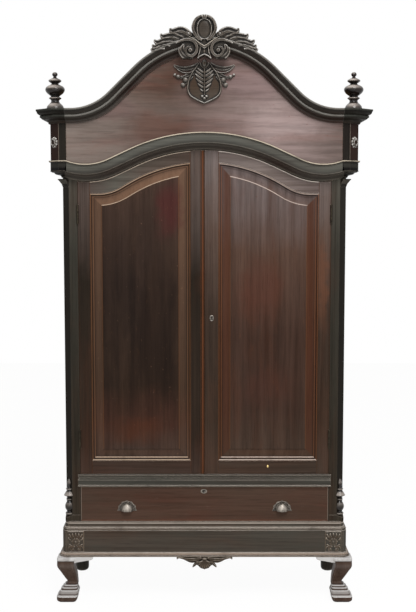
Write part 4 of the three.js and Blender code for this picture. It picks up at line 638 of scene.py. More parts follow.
def bendTree():
    # Bends a straight strip of moulding along the arch: X runs along it, Y is its reach, Z its height.
    # Each step is a name, an operation and what goes in; later steps use earlier names.
    names = ("Span", "Rise", "End Radius", "Crown Radius", "Low", "Front")
    tree, given = newTree("bend_along_arch", {name: "Float" for name in names})
    where = addNode(tree, splitNode, [addNode(tree, "GeometryNodeInputPosition")])
    made = {name: given.outputs[name] for name in names}
    made.update({"x": where.outputs[0], "reach": where.outputs[1], "lift": where.outputs[2]})
    steps = [("both", "ADD", "End Radius", "Crown Radius"), ("down", "SUBTRACT", "both", "Rise"),
        ("spanSquare", "MULTIPLY", "Span", "Span"), ("downSquare", "MULTIPLY", "down", "down"),
        ("farSquare", "ADD", "spanSquare", "downSquare"), ("far", "SQRT", "farSquare"),
        ("leanShare", "DIVIDE", "both", "far"), ("lean", "ARCSINE", "leanShare"),
        ("drop", "ARCTAN2", "down", "Span"), ("slope", "SUBTRACT", "lean", "drop"), ("sine", "SINE", "slope"),
        ("cosine", "COSINE", "slope"), ("tangent", "TANGENT", "slope"),
        ("crownEnd", "MULTIPLY", "Crown Radius", "sine"), ("endRun", "MULTIPLY", "End Radius", "sine"),
        ("endStart", "SUBTRACT", "Span", "endRun"), ("across", "ABSOLUTE", "x"), ("side", "SIGN", "x"),
        ("top", "ADD", "Low", "Rise"), ("fromEnd", "SUBTRACT", "Span", "across"),
        ("left", "MAXIMUM", "fromEnd", 0.0), ("crownShare", "DIVIDE", "across", "Crown Radius"),
        ("crownPart", "MINIMUM", "crownShare", 1.0), ("crownTurn", "ARCSINE", "crownPart"),
        ("endShare", "DIVIDE", "left", "End Radius"), ("endPart", "MINIMUM", "endShare", 1.0),
        ("endTurn", "ARCSINE", "endPart"), ("lesser", "MINIMUM", "crownTurn", "slope"),
        ("least", "MINIMUM", "lesser", "endTurn"), ("tilt", "MULTIPLY", "least", "side"),
        ("crownCosine", "COSINE", "crownTurn"), ("crownLift", "MULTIPLY", "Crown Radius", "crownCosine"),
        ("crownBase", "SUBTRACT", "top", "Crown Radius"), ("crownHeight", "ADD", "crownBase", "crownLift"),
        ("slopeLift", "MULTIPLY", "Crown Radius", "cosine"), ("slopeStart", "ADD", "crownBase", "slopeLift"),
        ("beyond", "SUBTRACT", "across", "crownEnd"), ("fall", "MULTIPLY", "beyond", "tangent"),
        ("slopeHeight", "SUBTRACT", "slopeStart", "fall"), ("endCosine", "COSINE", "endTurn"),
        ("endLift", "MULTIPLY", "End Radius", "endCosine"), ("endBase", "ADD", "Low", "End Radius"),
        ("endHeight", "SUBTRACT", "endBase", "endLift"), ("onCrown", "LESS_THAN", "across", "crownEnd"),
        ("onEnd", "GREATER_THAN", "across", "endStart"),
        ("crownMore", "SUBTRACT", "crownHeight", "slopeHeight"),
        ("endMore", "SUBTRACT", "endHeight", "slopeHeight"), ("crownAdd", "MULTIPLY", "crownMore", "onCrown"),
        ("endAdd", "MULTIPLY", "endMore", "onEnd"), ("withCrown", "ADD", "slopeHeight", "crownAdd"),
        ("height", "ADD", "withCrown", "endAdd"), ("tiltSine", "SINE", "tilt"),
        ("tiltCosine", "COSINE", "tilt"), ("sideways", "MULTIPLY", "lift", "tiltSine"),
        ("upwards", "MULTIPLY", "lift", "tiltCosine"), ("newX", "ADD", "x", "sideways"),
        ("newZ", "ADD", "height", "upwards"), ("newY", "SUBTRACT", "Front", "reach")]
    for name, operation, *parts in steps:
        made[name] = addNode(tree, mathNode, [made.get(part, part) for part in parts], operation=operation)
    bent = addNode(tree, joinNode, [made["newX"], made["newY"], made["newZ"]])
    moved = addNode(tree, "GeometryNodeSetPosition", {"Geometry": given.outputs[0], "Position": bent})
    return endTree(tree, given, moved)


def mirrored(points):
    return [(-x, y) for x, y in reversed(points)]


def inMetres(points):
    return [(p * mm, h * mm, rubShading, warm) for p, h, rubShading, warm in points]


# Plan of the mouldings' way round the canted corner block and along the side
hoodCant = 39 * mm
cornerPlan = [(blockInner, hoodFront), (hoodHalf - hoodCant, hoodFront), (hoodHalf, hoodFront + hoodCant),
              (hoodHalf, backFace)]
# Head moulding over the doors: fillet pale with wear and a painted highlight, hollow under it in painted
# shade, broad flat, bead, ogee red and darkened with painted shade, last fillet
headMould = {"fillet": 8, "filletHeight": 3.6, "flat": 1.2, "flatEnd": 41, "bead": 1.8, "depth": 44.7,
             "steps": 90, "cornerShade": 0.75}


def headProfile():
    fillet, filletLow = headMould["fillet"], -headMould["filletHeight"]
    flat, depth, bead = headMould["flat"], headMould["depth"], headMould["bead"]
    points = [(-depth, 0, 0, 0), (fillet - 2, 0, 0.3, 0), (fillet, 0, 0.95, 0), (fillet, filletLow, 0.95, 0)]
    points += quarter(points[-1], (flat, filletLow - 4), 4, False, -0.7, 0, -0.1)
    points += [(flat, -16, 0.02, 0), (flat, -26, -0.02, 0), (flat, -34, -0.3, 0.1),
               (flat, -headMould["flatEnd"], -0.5, 0.3)]
    for turn in spread(0, math.pi, 7)[1:-1]:
        points.append((flat - 1 + bead * math.sin(turn) * 1.4,
                       -headMould["flatEnd"] - 1 - bead + bead * math.cos(turn), -0.1, 0.4))
    points.append((-1.5, -46, -0.8, 0.5))
    points += quarter(points[-1], (-14, -50), 4, False, -0.3, 0.8)
    points += ogee(points[-1], (-41, -67), 5, -0.3, 0.8)
    return inMetres(points + [(-42.5, -67.2, -0.1, 0.6), (-42.5, -70, -0.1, 0.6), (-depth, -70, 0, 0)])


def headMoulding():
    arch = archStations(headLine, spread(-blockInner, blockInner, headMould["steps"]), hoodFront)
    for index in (0, -1):
        at, out, up = arch[index]
        arch[index] = (at, out, Vector((math.tan(math.asin(up.x) / 2), 0, 1)))
    seat = headLine.height(blockInner)
    # Darker round the corner blocks, from just beyond the arch
    plan = [cornerPlan[0], (blockInner + 1 * mm, hoodFront), *cornerPlan[1:]]
    right = planStations(plan, seat)[1:]
    left = planStations(mirrored(plan), seat)[:-1]
    shade = headMould["cornerShade"]
    shades = [shade] * len(left) + [0] * len(arch) + [shade] * len(right)
    name = "door_head_moulding_fine"
    mesh = sweepMesh(name, left + arch + right, headProfile(), shades)
    addPiece(name, mesh, woodMaterial("moulding", "across"), "door_head_moulding")


# Cornice: thin top fillet and roll, pale with painted highlights, deep cove and ogee in painted shade, and
# a last fillet
cornice = {"out": 56.7, "height": 58, "roll": 5, "steps": 96, "returnShine": 0.25}


def corniceProfile(shine=1.0):
    out, low = cornice["out"], -cornice["height"]
    points = [(0.3, 0, 0, 0), (out - 3, 0, 0.3, 0), (out, 0, 0.8, 0), (out, -3.5, 0.55, 0), (out, -7, 0.1, 0),
              (53.5, -9.5, -0.85, 0)]
    points += quarter(points[-1], (36, -24), 8, False, -0.85, 0.3, -0.05)
    points.append((37, -25, 0, 0))
    for i, turn in enumerate(spread(0, math.pi, 8)[1:-1]):
        points.append((37 + cornice["roll"] * math.sin(turn), -30 + cornice["roll"] * math.cos(turn),
                       0.36 if 0 < i < 5 else 0, 0))
    points.append((36, -35.5, -0.7, 0.3))
    points += ogee(points[-1], (9, -49), 5, -0.45, 0.6)
    points += [(7.5, -50, -0.2, 0.9), (7.5, low, -0.2, 0.9), (0.3, low, 0, 0)]
    return inMetres([(p, h, rubShading * shine if rubShading > 0 else rubShading, warm) for p, h, rubShading, warm in points])


def corniceMouldings():
    straight = [(Vector((x, 0, 0)), Vector((0, 1, 0)), Vector((0, 0, 1)))
                for x in spread(gap - blockInner, blockInner - gap, cornice["steps"])]
    material = woodMaterial("cornice", "across")
    line = corniceLine
    mesh = bakeTree(bendTree(), sweepMesh("cornice_strip", straight, corniceProfile()), material,
                    {"Span": line.span, "Rise": line.rise, "End Radius": line.endRadius,
                     "Crown Radius": line.crownRadius, "Low": line.low, "Front": hoodFront})
    bm = bmesh.new()
    bm.from_mesh(mesh)
    addPiece("cornice_moulding_fine", bm, material, "cornice_moulding")
    for hand, plan in (("right", cornerPlan), ("left", mirrored(cornerPlan))):
        node = hand + "_cornice_return"
        profile = corniceProfile(cornice["returnShine"])
        mesh = sweepMesh(node + "_fine", planStations(plan, corniceTop), profile)
        addPiece(node + "_fine", mesh, woodMaterial("return", "deep"), node)


headMoulding()
corniceMouldings()
print("arched mouldings made")

# Turned pieces: shares of the radius and of the height, and how pale or dark each turn is painted: a painted
# highlight on the rounded faces, painted shade in the hollows. litFrom is the angle of the side given the
# strongest painted highlight.
finial = {"radius": 40.5, "litFrom": 245, "profile": [(0, 0, 0), (0.9, 0, -0.6), (0.92, 0.02, 0),
    (0.88, 0.045, 0.1), (0.82, 0.09, 0.4), (0.68, 0.135, 0.6), (0.55, 0.165, 0.2), (0.44, 0.2, -0.7),
    (0.42, 0.235, -0.5), (0.46, 0.26, 0), (0.62, 0.29, 0.2), (0.64, 0.303, 0.65), (0.6, 0.318, 0.2),
    (0.46, 0.34, -0.8), (0.47, 0.362, -0.6), (0.62, 0.39, -0.3), (0.86, 0.445, -0.3), (0.98, 0.5, -0.1),
    (1.0, 0.53, 0), (0.96, 0.573, 0.4), (0.82, 0.616, 0.65), (0.6, 0.647, 0.3), (0.38, 0.675, -0.7),
    (0.35, 0.69, -0.8), (0.46, 0.712, -0.3), (0.62, 0.744, -0.1), (0.67, 0.767, 0.4), (0.58, 0.798, 0.65),
    (0.38, 0.826, 0.2), (0.19, 0.854, -0.5), (0.165, 0.882, -0.4), (0.24, 0.902, -0.2), (0.285, 0.938, 0),
    (0.22, 0.978, 0.4), (0.1, 0.996, 0.4), (0, 1, 0.4)]}
baluster = {"radius": 25, "profile": [(0, 0, 0), (0.62, 0, 0), (0.68, 0.02, 0.5), (0.66, 0.045, 0.1),
    (0.5, 0.06, -0.8), (0.42, 0.08, -0.8), (0.5, 0.1, -0.2), (0.68, 0.15, -0.1), (0.76, 0.2, 0),
    (0.74, 0.26, 0.1), (0.58, 0.32, 0.15), (0.4, 0.36, -0.6), (0.34, 0.38, -0.8), (0.5, 0.4, 0),
    (0.52, 0.42, 0.4), (0.5, 0.44, 0), (0.34, 0.455, -0.8), (0.4, 0.48, -0.5), (0.62, 0.51, -0.2),
    (0.9, 0.528, 0.1), (0.92, 0.545, 0.4), (0.78, 0.585, 0.45), (0.56, 0.64, 0.1), (0.4, 0.675, -0.8),
    (0.56, 0.695, 0.1), (0.58, 0.71, 0.5), (0.52, 0.73, 0), (0.36, 0.75, -0.8), (0.28, 0.78, -0.5),
    (0.42, 0.84, 0), (0.36, 0.9, 0.2), (0.2, 0.96, 0.2), (0, 1, 0.1)]}
rearFoot = {"profile": [(0, 0, 0), (0.72, 0, 0), (0.84, 0.012, 0), (0.94, 0.035, 0), (1, 0.08, 0),
    (1, 0.3, 0), (0.98, 0.45, 0), (0.93, 0.55, -0.3), (0.9, 0.6, -0.5), (0.98, 0.64, 0.2), (0.98, 0.7, 0),
    (0.98, 1, 0), (0, 1, 0)]}


def turnedProfile(shares, radius, height, steps=3):
    return [(max(r * radius, 0.0001 * mm), min(max(h, 0.0), 1.0) * height, rubShading)
            for r, h, rubShading in smoothCurve(shares, steps)]


def cantAxes(side):
    # Out of a canted face, and along it
    outward = Vector((side, -1, 0)).normalized()
    return outward, Vector((-outward.y, outward.x, 0))


def turnedPieces():
    steps = 48
    for side, hand in sides:
        for node, turned, kind, smooth, angle in ((hand + "_finial", finial, "turned", 3, 60),
                                                  ("rear_" + hand + "_foot", rearFoot, "ebonised", 1, 50)):
            low, high = lowest[node], highest[node]
            centreX, centreY = (low.x + high.x) / 2, (low.y + high.y) / 2
            radius = turned.get("radius", 0) * mm or (high.x - low.x) / 2
            profile = turnedProfile(turned["profile"], radius, high.z - low.z, smooth)
            shares = [1] * steps
            # The painted highlight is strongest on the side facing litFrom
            if "litFrom" in turned:
                lit = math.radians(turned["litFrom"])
                shares = [0.25 + 0.9 * max(0, math.cos(2 * math.pi * i / steps - lit)) ** 3
                          for i in range(steps)]
            bm = newBody()
            addRings(bm, [[(centreX + x, centreY + y, low.z + height) for x, y in circle(steps, reach)]
                          for reach, height, rubShading in profile],
                     [[rubShading * share if rubShading > 0 else rubShading for share in shares]
                      for reach, height, rubShading in profile])
            addPiece(node + "_fine", bm, woodMaterial(kind, "upright"), node, angle)


def splitBalusters():
    # Half turnings, their flat backs on the cants of the corner posts
    half = 14 * mm
    for side, hand in sides:
        node = hand + "_split_baluster"
        low, high = lowest[node], highest[node]
        profile = turnedProfile(baluster["profile"], baluster["radius"] * mm, high.z - low.z)
        centre = Vector((side * (caseHalf - half), caseFront + half, low.z))
        outward, along = cantAxes(side)
        rings = []
        for radius, height, rubShading in profile:
            reach = max(radius, 0.05 * mm)
            rings.append([centre + Vector((0, 0, height)) + outward * (gap + reach * math.sin(turn))
                          + along * reach * math.cos(turn) for turn in spread(0, math.pi, 16)])
        bm = newBody()
        addRings(bm, rings, [rubShading for radius, height, rubShading in profile])
        addPiece(node + "_fine", bm, woodMaterial("turned", "upright"), node, 60)


turnedPieces()
splitBalusters()
print("turned pieces made")

# Front legs: height, inner edge and outer edge as shares of the leg's height, the edges from the case's
# corner, and how pale or dark each ring is painted: wear and a painted highlight on the ledges, painted shade
# in the grooves. Low down they are the stepped ledges of the foot.
leg = {"height": 200 * mm, "padHeight": 18 * mm, "outline": [(0.0, -0.185, 0.12, -0.5),
    (0.008, -0.198, 0.165, -0.2), (0.03, -0.215, 0.19, -0.1), (0.06, -0.235, 0.203, -0.1),
    (0.118, -0.243, 0.207, -0.06), (0.126, -0.247, 0.207, 0.8), (0.134, -0.249, 0.2, 0.9),
    (0.15, -0.25, 0.178, 0.6), (0.162, -0.252, 0.166, 0.2), (0.168, -0.25, 0.16, -0.8),
    (0.174, -0.254, 0.158, 0.2), (0.2, -0.262, 0.149, 0.4), (0.232, -0.252, 0.139, 0.45),
    (0.241, -0.248, 0.137, 0.8), (0.25, -0.242, 0.125, 0.9), (0.257, -0.238, 0.108, -0.9),
    (0.264, -0.236, 0.106, 0), (0.286, -0.233, 0.101, 0.2), (0.294, -0.232, 0.099, 0.9),
    (0.302, -0.23, 0.082, 0.8), (0.309, -0.23, 0.068, -0.9), (0.315, -0.231, 0.066, 0),
    (0.332, -0.234, 0.059, 0.3), (0.338, -0.235, 0.055, 1), (0.345, -0.236, 0.036, 0.6),
    (0.353, -0.235, 0.018, -0.7), (0.37, -0.233, -0.004, 0), (0.4, -0.232, -0.012, 0),
    (0.44, -0.229, 0.002, 0), (0.5, -0.227, 0.036, 0), (0.545, -0.223, 0.06, 0), (0.59, -0.217, 0.084, 0),
    (0.635, -0.209, 0.107, 0), (0.68, -0.2, 0.13, 0), (0.72, -0.19, 0.153, 0), (0.765, -0.18, 0.177, 0.02),
    (0.8, -0.174, 0.188, 0.05), (0.83, -0.17, 0.192, 0.05), (0.88, -0.178, 0.191, 0),
    (0.92, -0.19, 0.188, -0.3)]}
# Wings beside the knee: how far the tip, its foot and the root are from the case's corner, and slices by
# depth with how far the lower edge is eased
legWing = {"reaches": (118, 103, 36), "proud": 28.5, "slices": [(0, 1.5), (2, 0), (28, 0), (30, 1.5)]}


def legRing(side, z, inner, outer, squareness):
    # Rounded square, its corner pointing forwards and outwards
    half, middle = (outer - inner) / 2, (outer + inner) / 2
    ring = []
    for i in range(32):
        angle = 2 * math.pi * (i + 0.5) / 32
        c, s = math.cos(angle), math.sin(angle)
        reach = half / (abs(c) ** squareness + abs(s) ** squareness) ** (1 / squareness)
        ring.append(Vector((side * (caseHalf + middle + c * reach), caseFront - middle - s * reach, z)))
    return ring


def frontLegs():
    tall = leg["height"]
    low, high = tall - leg["padHeight"], tall - gap
    # Knee pad: heights and how far it shrinks, with an eased edge above and below
    pad = [(low, 4), (low + 1.5 * mm, 1.5), (low + 4 * mm, 0), (high - 4 * mm, 0), (high - 1 * mm, 1.5),
           (high, 3.5)]
    # Outline of the wings beside the knee
    tip, tipLow, root = (caseHalf - reach * mm for reach in legWing["reaches"])
    front = caseFront - legWing["proud"] * mm
    wing = smoothCurve([(tip, high), (tip + 3 * mm, high - 9 * mm), (tipLow, low + 3 * mm),
                        (tipLow + 25 * mm, low - 1 * mm), (root, low - 9 * mm)], 4) + [(root, high)]
    for side, hand in sides:
        bm = newBody()
        addRings(bm, [legRing(side, share * tall, inner * tall, outer * tall, 8)
                      for share, inner, outer, rubShading in leg["outline"]], [row[3] for row in leg["outline"]])
        addRings(bm, [legRing(side, z, (shrink - 41) * mm, (38 - shrink) * mm, 14) for z, shrink in pad],
                 [-0.3, 0.7, 0.85, 1, 1, 0.9])
        for onSide in (False, True):
            rings = []
            for depth, rise in legWing["slices"]:
                depth *= mm
                ring = [(along, z + rise * mm if z < high else z) for along, z in wing]
                if onSide:
                    across = side * (-front + caseFront + caseHalf - depth)
                    rings.append([Vector((across, -along + caseHalf + caseFront, z)) for along, z in ring])
                else:
                    rings.append([Vector((side * along, front + depth, z)) for along, z in ring])
            addRings(bm, rings, [0.9] * 4)
        node = "front_" + hand + "_leg"
        addPiece(node + "_fine", bm, woodMaterial("leg", "upright"), node, 30)


frontLegs()
print("legs made")

# Raised panels: planted moulding, bevel, and a field with a small step; the left one mirrors the right.
# Each row is an inset from the frame, a depth behind its face, a warmth, and how pale or dark it is painted
# below, at the sides and along the arch: pale lines of wear and painted highlight, painted shade in the
# grooves.
panelCut = {"tongue": 8, "tongueFrom": 10, "tongueThick": 6, "steps": 48, "rows": [(0.3, 10, 0, (-1, -1, -1)),
    (0.3, 0.6, 0, (-1, -1, -1)), (1.2, 0.1, 0.2, (0.2, 0, 0.1)), (2.8, 0.25, 0.3, (0.9, 0.4, 0.9)),
    (4.6, 1.2, 0.3, (0.8, 0.35, 0.6)), (6.0, 3.4, 0.2, (-0.2, -0.2, -0.3)), (6.8, 3.8, 0, (-0.8, -0.8, -0.8)),
    (8.2, 6.2, 0.3, (-0.5, -0.4, -0.7)), (10.6, 7.6, 0.4, (-0.1, -0.1, -0.5)),
    (12.4, 7.9, 0.4, (1, 0.2, -0.1)), (14.6, 8.2, 0.4, (1, 0.35, 0)), (16, 8.8, 0.2, (-0.3, -0.5, -0.5)),
    (20, 8.6, 0.35, (0, -0.1, -0.1)), (30, 7.0, 0.45, (0.05, 0, 0)), (40, 5.2, 0.45, (0.05, 0, 0.05)),
    (47.6, 3.8, 0.4, (0, 0, 0.1)), (48.8, 3.4, 0.3, (0, 0.1, 0.6)), (49.8, 2.2, 0.3, (0, 0.45, 0.95)),
    (50.8, 1.6, 0.2, (0, 0.2, 0.6)), (52.4, 1.4, 0, (0, 0, 0))]}
# How much of the rows' warmth shows at the foot, at the sides and along the arch, and by height
panelWarmth = {"left": (0.3, 1, 1.5), "right": (0.3, 1.5, 0.2), "heights": (0.62, 0.86, 1.3, 1.45, 1.65, 1.8),
               "leftShares": (0.35, 0.4, 0.25, 0.45, 0.85, 1.2), "rightShares": (0.8, 0.9, 0.8, 1, 1.2, 1.1)}
# Top rails: a lift of the lower edge, then depths, how far the top is cut down for its arris, and how pale
# that arris is painted, with wear and a painted highlight
topRail = [(0, [(0.1, 3.8, 0), (0.15, 3.5, 1), (0.8, 0.3, 1), (2, 0, 1), (9.7, 0, 0)]),
           (8.3, [(9.7, 0, 0), (28, 0, 0)])]


def panelOutline(inset):
    # Points with their side: 0 along the foot, 1 upright, 2 along the arch
    line = panelLine.offset(-inset)
    left, right, low = panelLeft + inset, panelRight - inset, panelLow + inset
    near = 2 * mm
    points = [(left, low, 0), (right, low, 0), (right, low + near, 1), (right, line.height(right) - near, 1)]
    points += [(x, line.height(x), 2) for x in spread(right, left, panelCut["steps"])]
    return points + [(left, line.height(left) - near, 1), (left, low + near, 1)]


def doorPanels():
    back = panelCut["tongueFrom"] + panelCut["tongueThick"]
    rows = [(-panelCut["tongue"], depth, 0, (0, 0, 0)) for depth in (back, panelCut["tongueFrom"])]
    rows += panelCut["rows"]
    outlines = [panelOutline(row[0] * mm) for row in rows]
    rubShadings = [[row[3][part] for x, z, part in outline] for outline, row in zip(outlines, rows)]
    for side, hand in sides:
        shares = panelWarmth[hand + "Shares"]
        warmth = [[row[2] * panelWarmth[hand][part] * numpy.interp(z, panelWarmth["heights"], shares)
                   for x, z, part in outline] for outline, row in zip(outlines, rows)]
        bm = newBody()
        addRings(bm, [[Vector((side * x, caseFront + row[1] * mm, z)) for x, z, part in outline]
                      for outline, row in zip(outlines, rows)], rubShadings, warmth)
        node = hand + "_door_panel"
        addPiece(node + "_fine", bm, woodMaterial(hand + "Panel", "upright"), node, 25, hand + "_door")


def doorTopRails():
    # The rail between the stiles, cut to the door's arch above and the panel's arch below
    xs = spread(panelLeft + gap, panelRight - gap, panelCut["steps"])
    for side, hand in sides:
        bm = newBody()
        for lift, cuts in topRail:
            rings = []
            for y, cut, rubShading in cuts:
                ring = [(x, panelLine.height(x) + lift * mm) for x in xs]
                ring += [(x, doorLine.height(x) - cut * mm) for x in reversed(xs)]
                rings.append([Vector((side * x, caseFront + y * mm, z)) for x, z in ring])
            addRings(bm, rings, [[0] * len(xs) + [rubShading] * len(xs) for y, cut, rubShading in cuts])
        node = hand + "_door_top_rail"
        addPiece(node + "_fine", bm, woodMaterial(hand + "Head", "across"), node, 25, hand + "_door")


doorPanels()
doorTopRails()
print("panels made")

# Cup pulls: a scalloped flange with a row of beads, and a hooded cup
# The flange is painted darker as shade, least on its raised rim
pull = {"width": 84, "height": 45, "scallops": 12, "cup": (25.5, 22, 35), "wall": 2.2, "seat": 1.3,
        "flange": [(0, 0), (0, 1.2), (1.2, 2.0), (3.4, 2.0), (4.4, 1.3), (30, 1.3)],
        "flangeRubShading": [-0.3, -0.2, 0.05, -0.2, -0.7, -0.5]}


def cupPulls():
    half, tall, least = pull["width"] / 2 * mm, pull["height"] * mm, 5 * mm
    for side, hand in sides:
        node = hand + "_cup_pull"
        low, high = lowest[node], highest[node]
        centreX, base, plate = (low.x + high.x) / 2, low.z, high.y
        bm = newBody()
        rings = []
        for shrink, rise in pull["flange"]:
            ring = []
            for angle in spread(0, math.pi, 48):
                scallop = 1 + 0.035 * math.cos(angle * pull["scallops"]) if shrink < 4 else 1
                wide, high = (max(size - shrink * mm, least) * scallop for size in (half, tall))
                ring.append(Vector((centreX + wide * math.cos(angle) * 0.965, plate - rise * mm,
                                    base + high * math.sin(angle) * 0.965)))
            rings.append(ring)
        addRings(bm, rings, pull["flangeRubShading"])
        # The cup, from its rim up outside and down again inside
        rubShadingLayer = bm.verts.layers.float["rubShading"]
        made = []
        for inside, rows in ((False, range(13)), (True, range(12, -1, -1))):
            wide, deep, rise = ((value - pull["wall"] * inside) * mm for value in pull["cup"])
            for row in rows:
                lift = math.pi / 2 * row / 12
                made.append([])
                for turn in spread(0, math.pi, 24):
                    y = plate - pull["seat"] * mm - deep * math.sin(turn) * math.cos(lift) ** 0.8
                    vertex = bm.verts.new((centreX + wide * math.cos(turn) * math.cos(lift), y,
                                           base + rise * math.sin(lift)))
                    # Painted shade inside the cup and a painted highlight over its dome
                    vertex[rubShadingLayer] = -0.8 if inside else 0.05 + 0.4 * math.sin(math.pi * min(1, row / 9))
                    made[-1].append(vertex)
        for first, second in zip(made, made[1:] + made[:1]):
            for j in range(24):
                bm.faces.new((first[j], first[j + 1], second[j + 1], second[j]))
        addPiece(node + "_fine", bm, metalMaterial("castWhite"), node, 50, "drawer")


def ovals(place, rings, count):
    # Ovals on a front face: half width, half height and how far each stands proud
    return [[place + Vector((x, -rise * mm, z)) for x, z in circle(count, wide, tall)]
            for wide, tall, rise in rings]


# Keyhole plates: domed ovals with a raised rim; the keyhole is a dark sunk shape of its own, a painted shade
# standing for the hole. Each has a body, a place and half sizes; each ring a share of the size, how far it
# stands proud, and how pale or dark it is painted.
keyholePlates = {"right_door_keyhole_plate": ("right_door", 31, 1238, 9, 13),
                 "drawer_keyhole_plate": ("drawer", -3, 484, 14, 9)}
plateRings = [(1, 0.05, 0), (1, 1.2, -0.2), (0.93, 1.8, 0.3), (0.84, 1.8, 0.2), (0.78, 1.2, -0.7),
              (0.5, 1.7, -0.5), (0.2, 1.9, -0.4)]


def keyholePlate(name, body, x, z, halfX, halfZ):
    centre = Vector((x * mm, caseFront, z * mm))
    bm = newBody()
    # A painted highlight on the plate, strongest along its top and bottom
    shine = [0.4 + 0.9 * abs(side) for along, side in circle(40)]
    rings = [(halfX * mm * share, halfZ * mm * share, rise) for share, rise, rubShading in plateRings]
    rubShadings = [[rubShading * part for part in shine] for share, rise, rubShading in plateRings]
    addRings(bm, ovals(centre, rings, 40), rubShadings)
    addPiece(name, bm, metalMaterial("castWhite"), None, 50, body)
    bm = newBody()
    outline = []
    for i in range(17):
        angle = math.radians(-60 + 300 * i / 16)
        outline.append((2.8 * math.cos(angle), 2.5 + 2.8 * math.sin(angle)))
    outline += [(-2.2, -6), (2.2, -6)]
    addRings(bm, [[centre + Vector((x * mm, -y * mm, z * mm)) for x, z in outline] for y in (1.4, 2.15)])
    addPiece(name.replace("plate", "shade"), bm, keyholeShade(), None, 50, body)


def brassTack():
    # A small brass tack left in the right door's bottom rail
    bm = newBody()
    rings = [(radius * mm, 1.5 * radius * mm, rise)
             for radius, rise in ((4, 0.05), (4, 0.3), (3.2, 0.9), (1.8, 1.3), (0.6, 1.45))]
    # A painted highlight, strongest on top of the dome
    addRings(bm, ovals(Vector((273 * mm, caseFront, 594 * mm)), rings, 24), [0.2, 0.3, 0.5, 0.6, 0.6])
    addPiece("door_tack", bm, metalMaterial("brass"), None, 60, "right_door")


def rowTree(name, axis, inputs):
    # A tree that starts with a row of points, Pitch apart along an axis
    tree, given = newTree(name, {"Count": "Int", "Pitch": "Float", "First": "Vector", **inputs})
    step = addNode(tree, joinNode, {axis: given.outputs["Pitch"]})
    row = addNode(tree, lineNode, {"Count": given.outputs["Count"], "Start Location": given.outputs["First"],
                                   "Offset": step})
    return tree, given, row


# Hinge screws: countersunk slotted heads, three a leaf, the slots turned as the joiner left them
screw = {"radius": 3.2, "proud": 0.35, "slot": 0.9, "count": 3, "pitch": 26, "seed": 7}


def screwTree():
    tree, given, row = rowTree("screw_row", "Z", {"Facing": "Float", "Seed": "Int"})
    turn = addNode(tree, "FunctionNodeRandomValue", {2: 0.0, 3: math.pi, "Seed": given.outputs["Seed"]},
                   data_type="FLOAT")
    way = addNode(tree, joinNode, {"X": turn, "Z": given.outputs["Facing"]})
    heads = addNode(tree, instanceNode, {"Points": row, "Instance": given.outputs[0], "Rotation": way})
    return endTree(tree, given, heads)


def screwHead():
    # Lies in the YZ plane and faces +X: a low cone with two raised halves beside the slot
    bm = newBody()
    radius, proud, half = screw["radius"] * mm, screw["proud"] * mm, screw["slot"] / 2 * mm
    # Painted shade on the head's rim, and a painted highlight on the raised halves
    addRings(bm, [[Vector((x, y, z)) for y, z in circle(20, radius * share)]
                  for x, share in ((-1.4 * mm, 0.6), (0.1 * mm, 1))], [0, -0.6])
    start = math.asin(half / radius)
    for flip in (1, -1):
        outline = [(radius * 0.97 * math.cos(a), flip * radius * 0.97 * math.sin(a))
                   for a in spread(start, math.pi - start, 9)]
        addRings(bm, [[Vector((x, y, z)) for y, z in outline] for x in (0, proud)], [0.1, 0.5])
    return meshFrom(bm, "screw_head")


def hingeScrews():
    tree = screwTree()
    for body in ("carcase", "left_door", "right_door"):
        # A frame leaf's bare face looks inwards, a door leaf's outwards
        inwards = body == "carcase"
        leaves = "hinge_frame_leaf" if inwards else "hinge_leaf"
        found = [name for name in nodes if name.endswith(leaves) and (inwards or name.startswith(body))]
        bm = bmesh.new()
        for index, name in enumerate(sorted(found)):
            low, high = lowest[name], highest[name]
            side = 1 if low.x > 0 else -1
            face = side * openHalf if inwards else side * (openHalf - 1.4 * mm)
            first = (face, caseFront + 10 * mm, (low.z + high.z) / 2 - screw["pitch"] * mm)
            bm.from_mesh(bakeTree(tree, screwHead(), metalMaterial("brass"), {
                "Count": screw["count"], "Pitch": screw["pitch"] * mm, "First": first,
                "Seed": screw["seed"] + index, "Facing": math.pi if (side > 0) == inwards else 0.0}))
        addPiece(body + "_hinge_screws", bm, metalMaterial("brass"), body=body)


cupPulls()
for plateName, plateSettings in keyholePlates.items():
    keyholePlate(plateName, *plateSettings)
brassTack()
hingeScrews()
print("metalwork made")

# Back of the case: upright pine boards with eased edges, set side by side
backBoard = {"count": 8, "space": 0.8, "ease": 2.5}


def boardTree():
    tree, given, row = rowTree("board_row", "X", {})
    return endTree(tree, given, addNode(tree, instanceNode, {"Points": row, "Instance": given.outputs[0]}))


def backBoards():
    low, high = lowest["back_panel"], highest["back_panel"]
    pitch = (high.x - low.x) / backBoard["count"]
    half = pitch / 2 - backBoard["space"] * mm / 2
    thick, tall, ease = high.y - low.y, high.z - low.z, backBoard["ease"] * mm
    plan = [(-half + ease, 0), (half - ease, 0), (half, ease), (half, thick - ease), (half - ease, thick),
            (-half + ease, thick), (-half, thick - ease), (-half, ease)]
    bm = newBody()
    addRings(bm, [[Vector((x, y, z)) for x, y in plan] for z in (0, tall)])
    material = woodMaterial("inner", "upright")
    mesh = bakeTree(boardTree(), meshFrom(bm, "back_board"), material,
                    {"Count": backBoard["count"], "Pitch": pitch, "First": (low.x + pitch / 2, low.y, low.z)})
    addPiece("back_boards", mesh, material, "back_panel", 30)


backBoards()
print("back made")


# Carving: rounded strokes laid on a ground, fused and softened. Sizes in millimetres, face is the ground's Y.
def crossings(curve):
    # Direction across the curve at each of its points
    made = []
    for i in range(len(curve)):
        ax, az = curve[max(0, i - 1)][:2]
        bx, bz = curve[min(len(curve) - 1, i + 1)][:2]
        length = math.hypot(bx - ax, bz - az) or 1
        made.append((-(bz - az) / length, (bx - ax) / length))
    return made


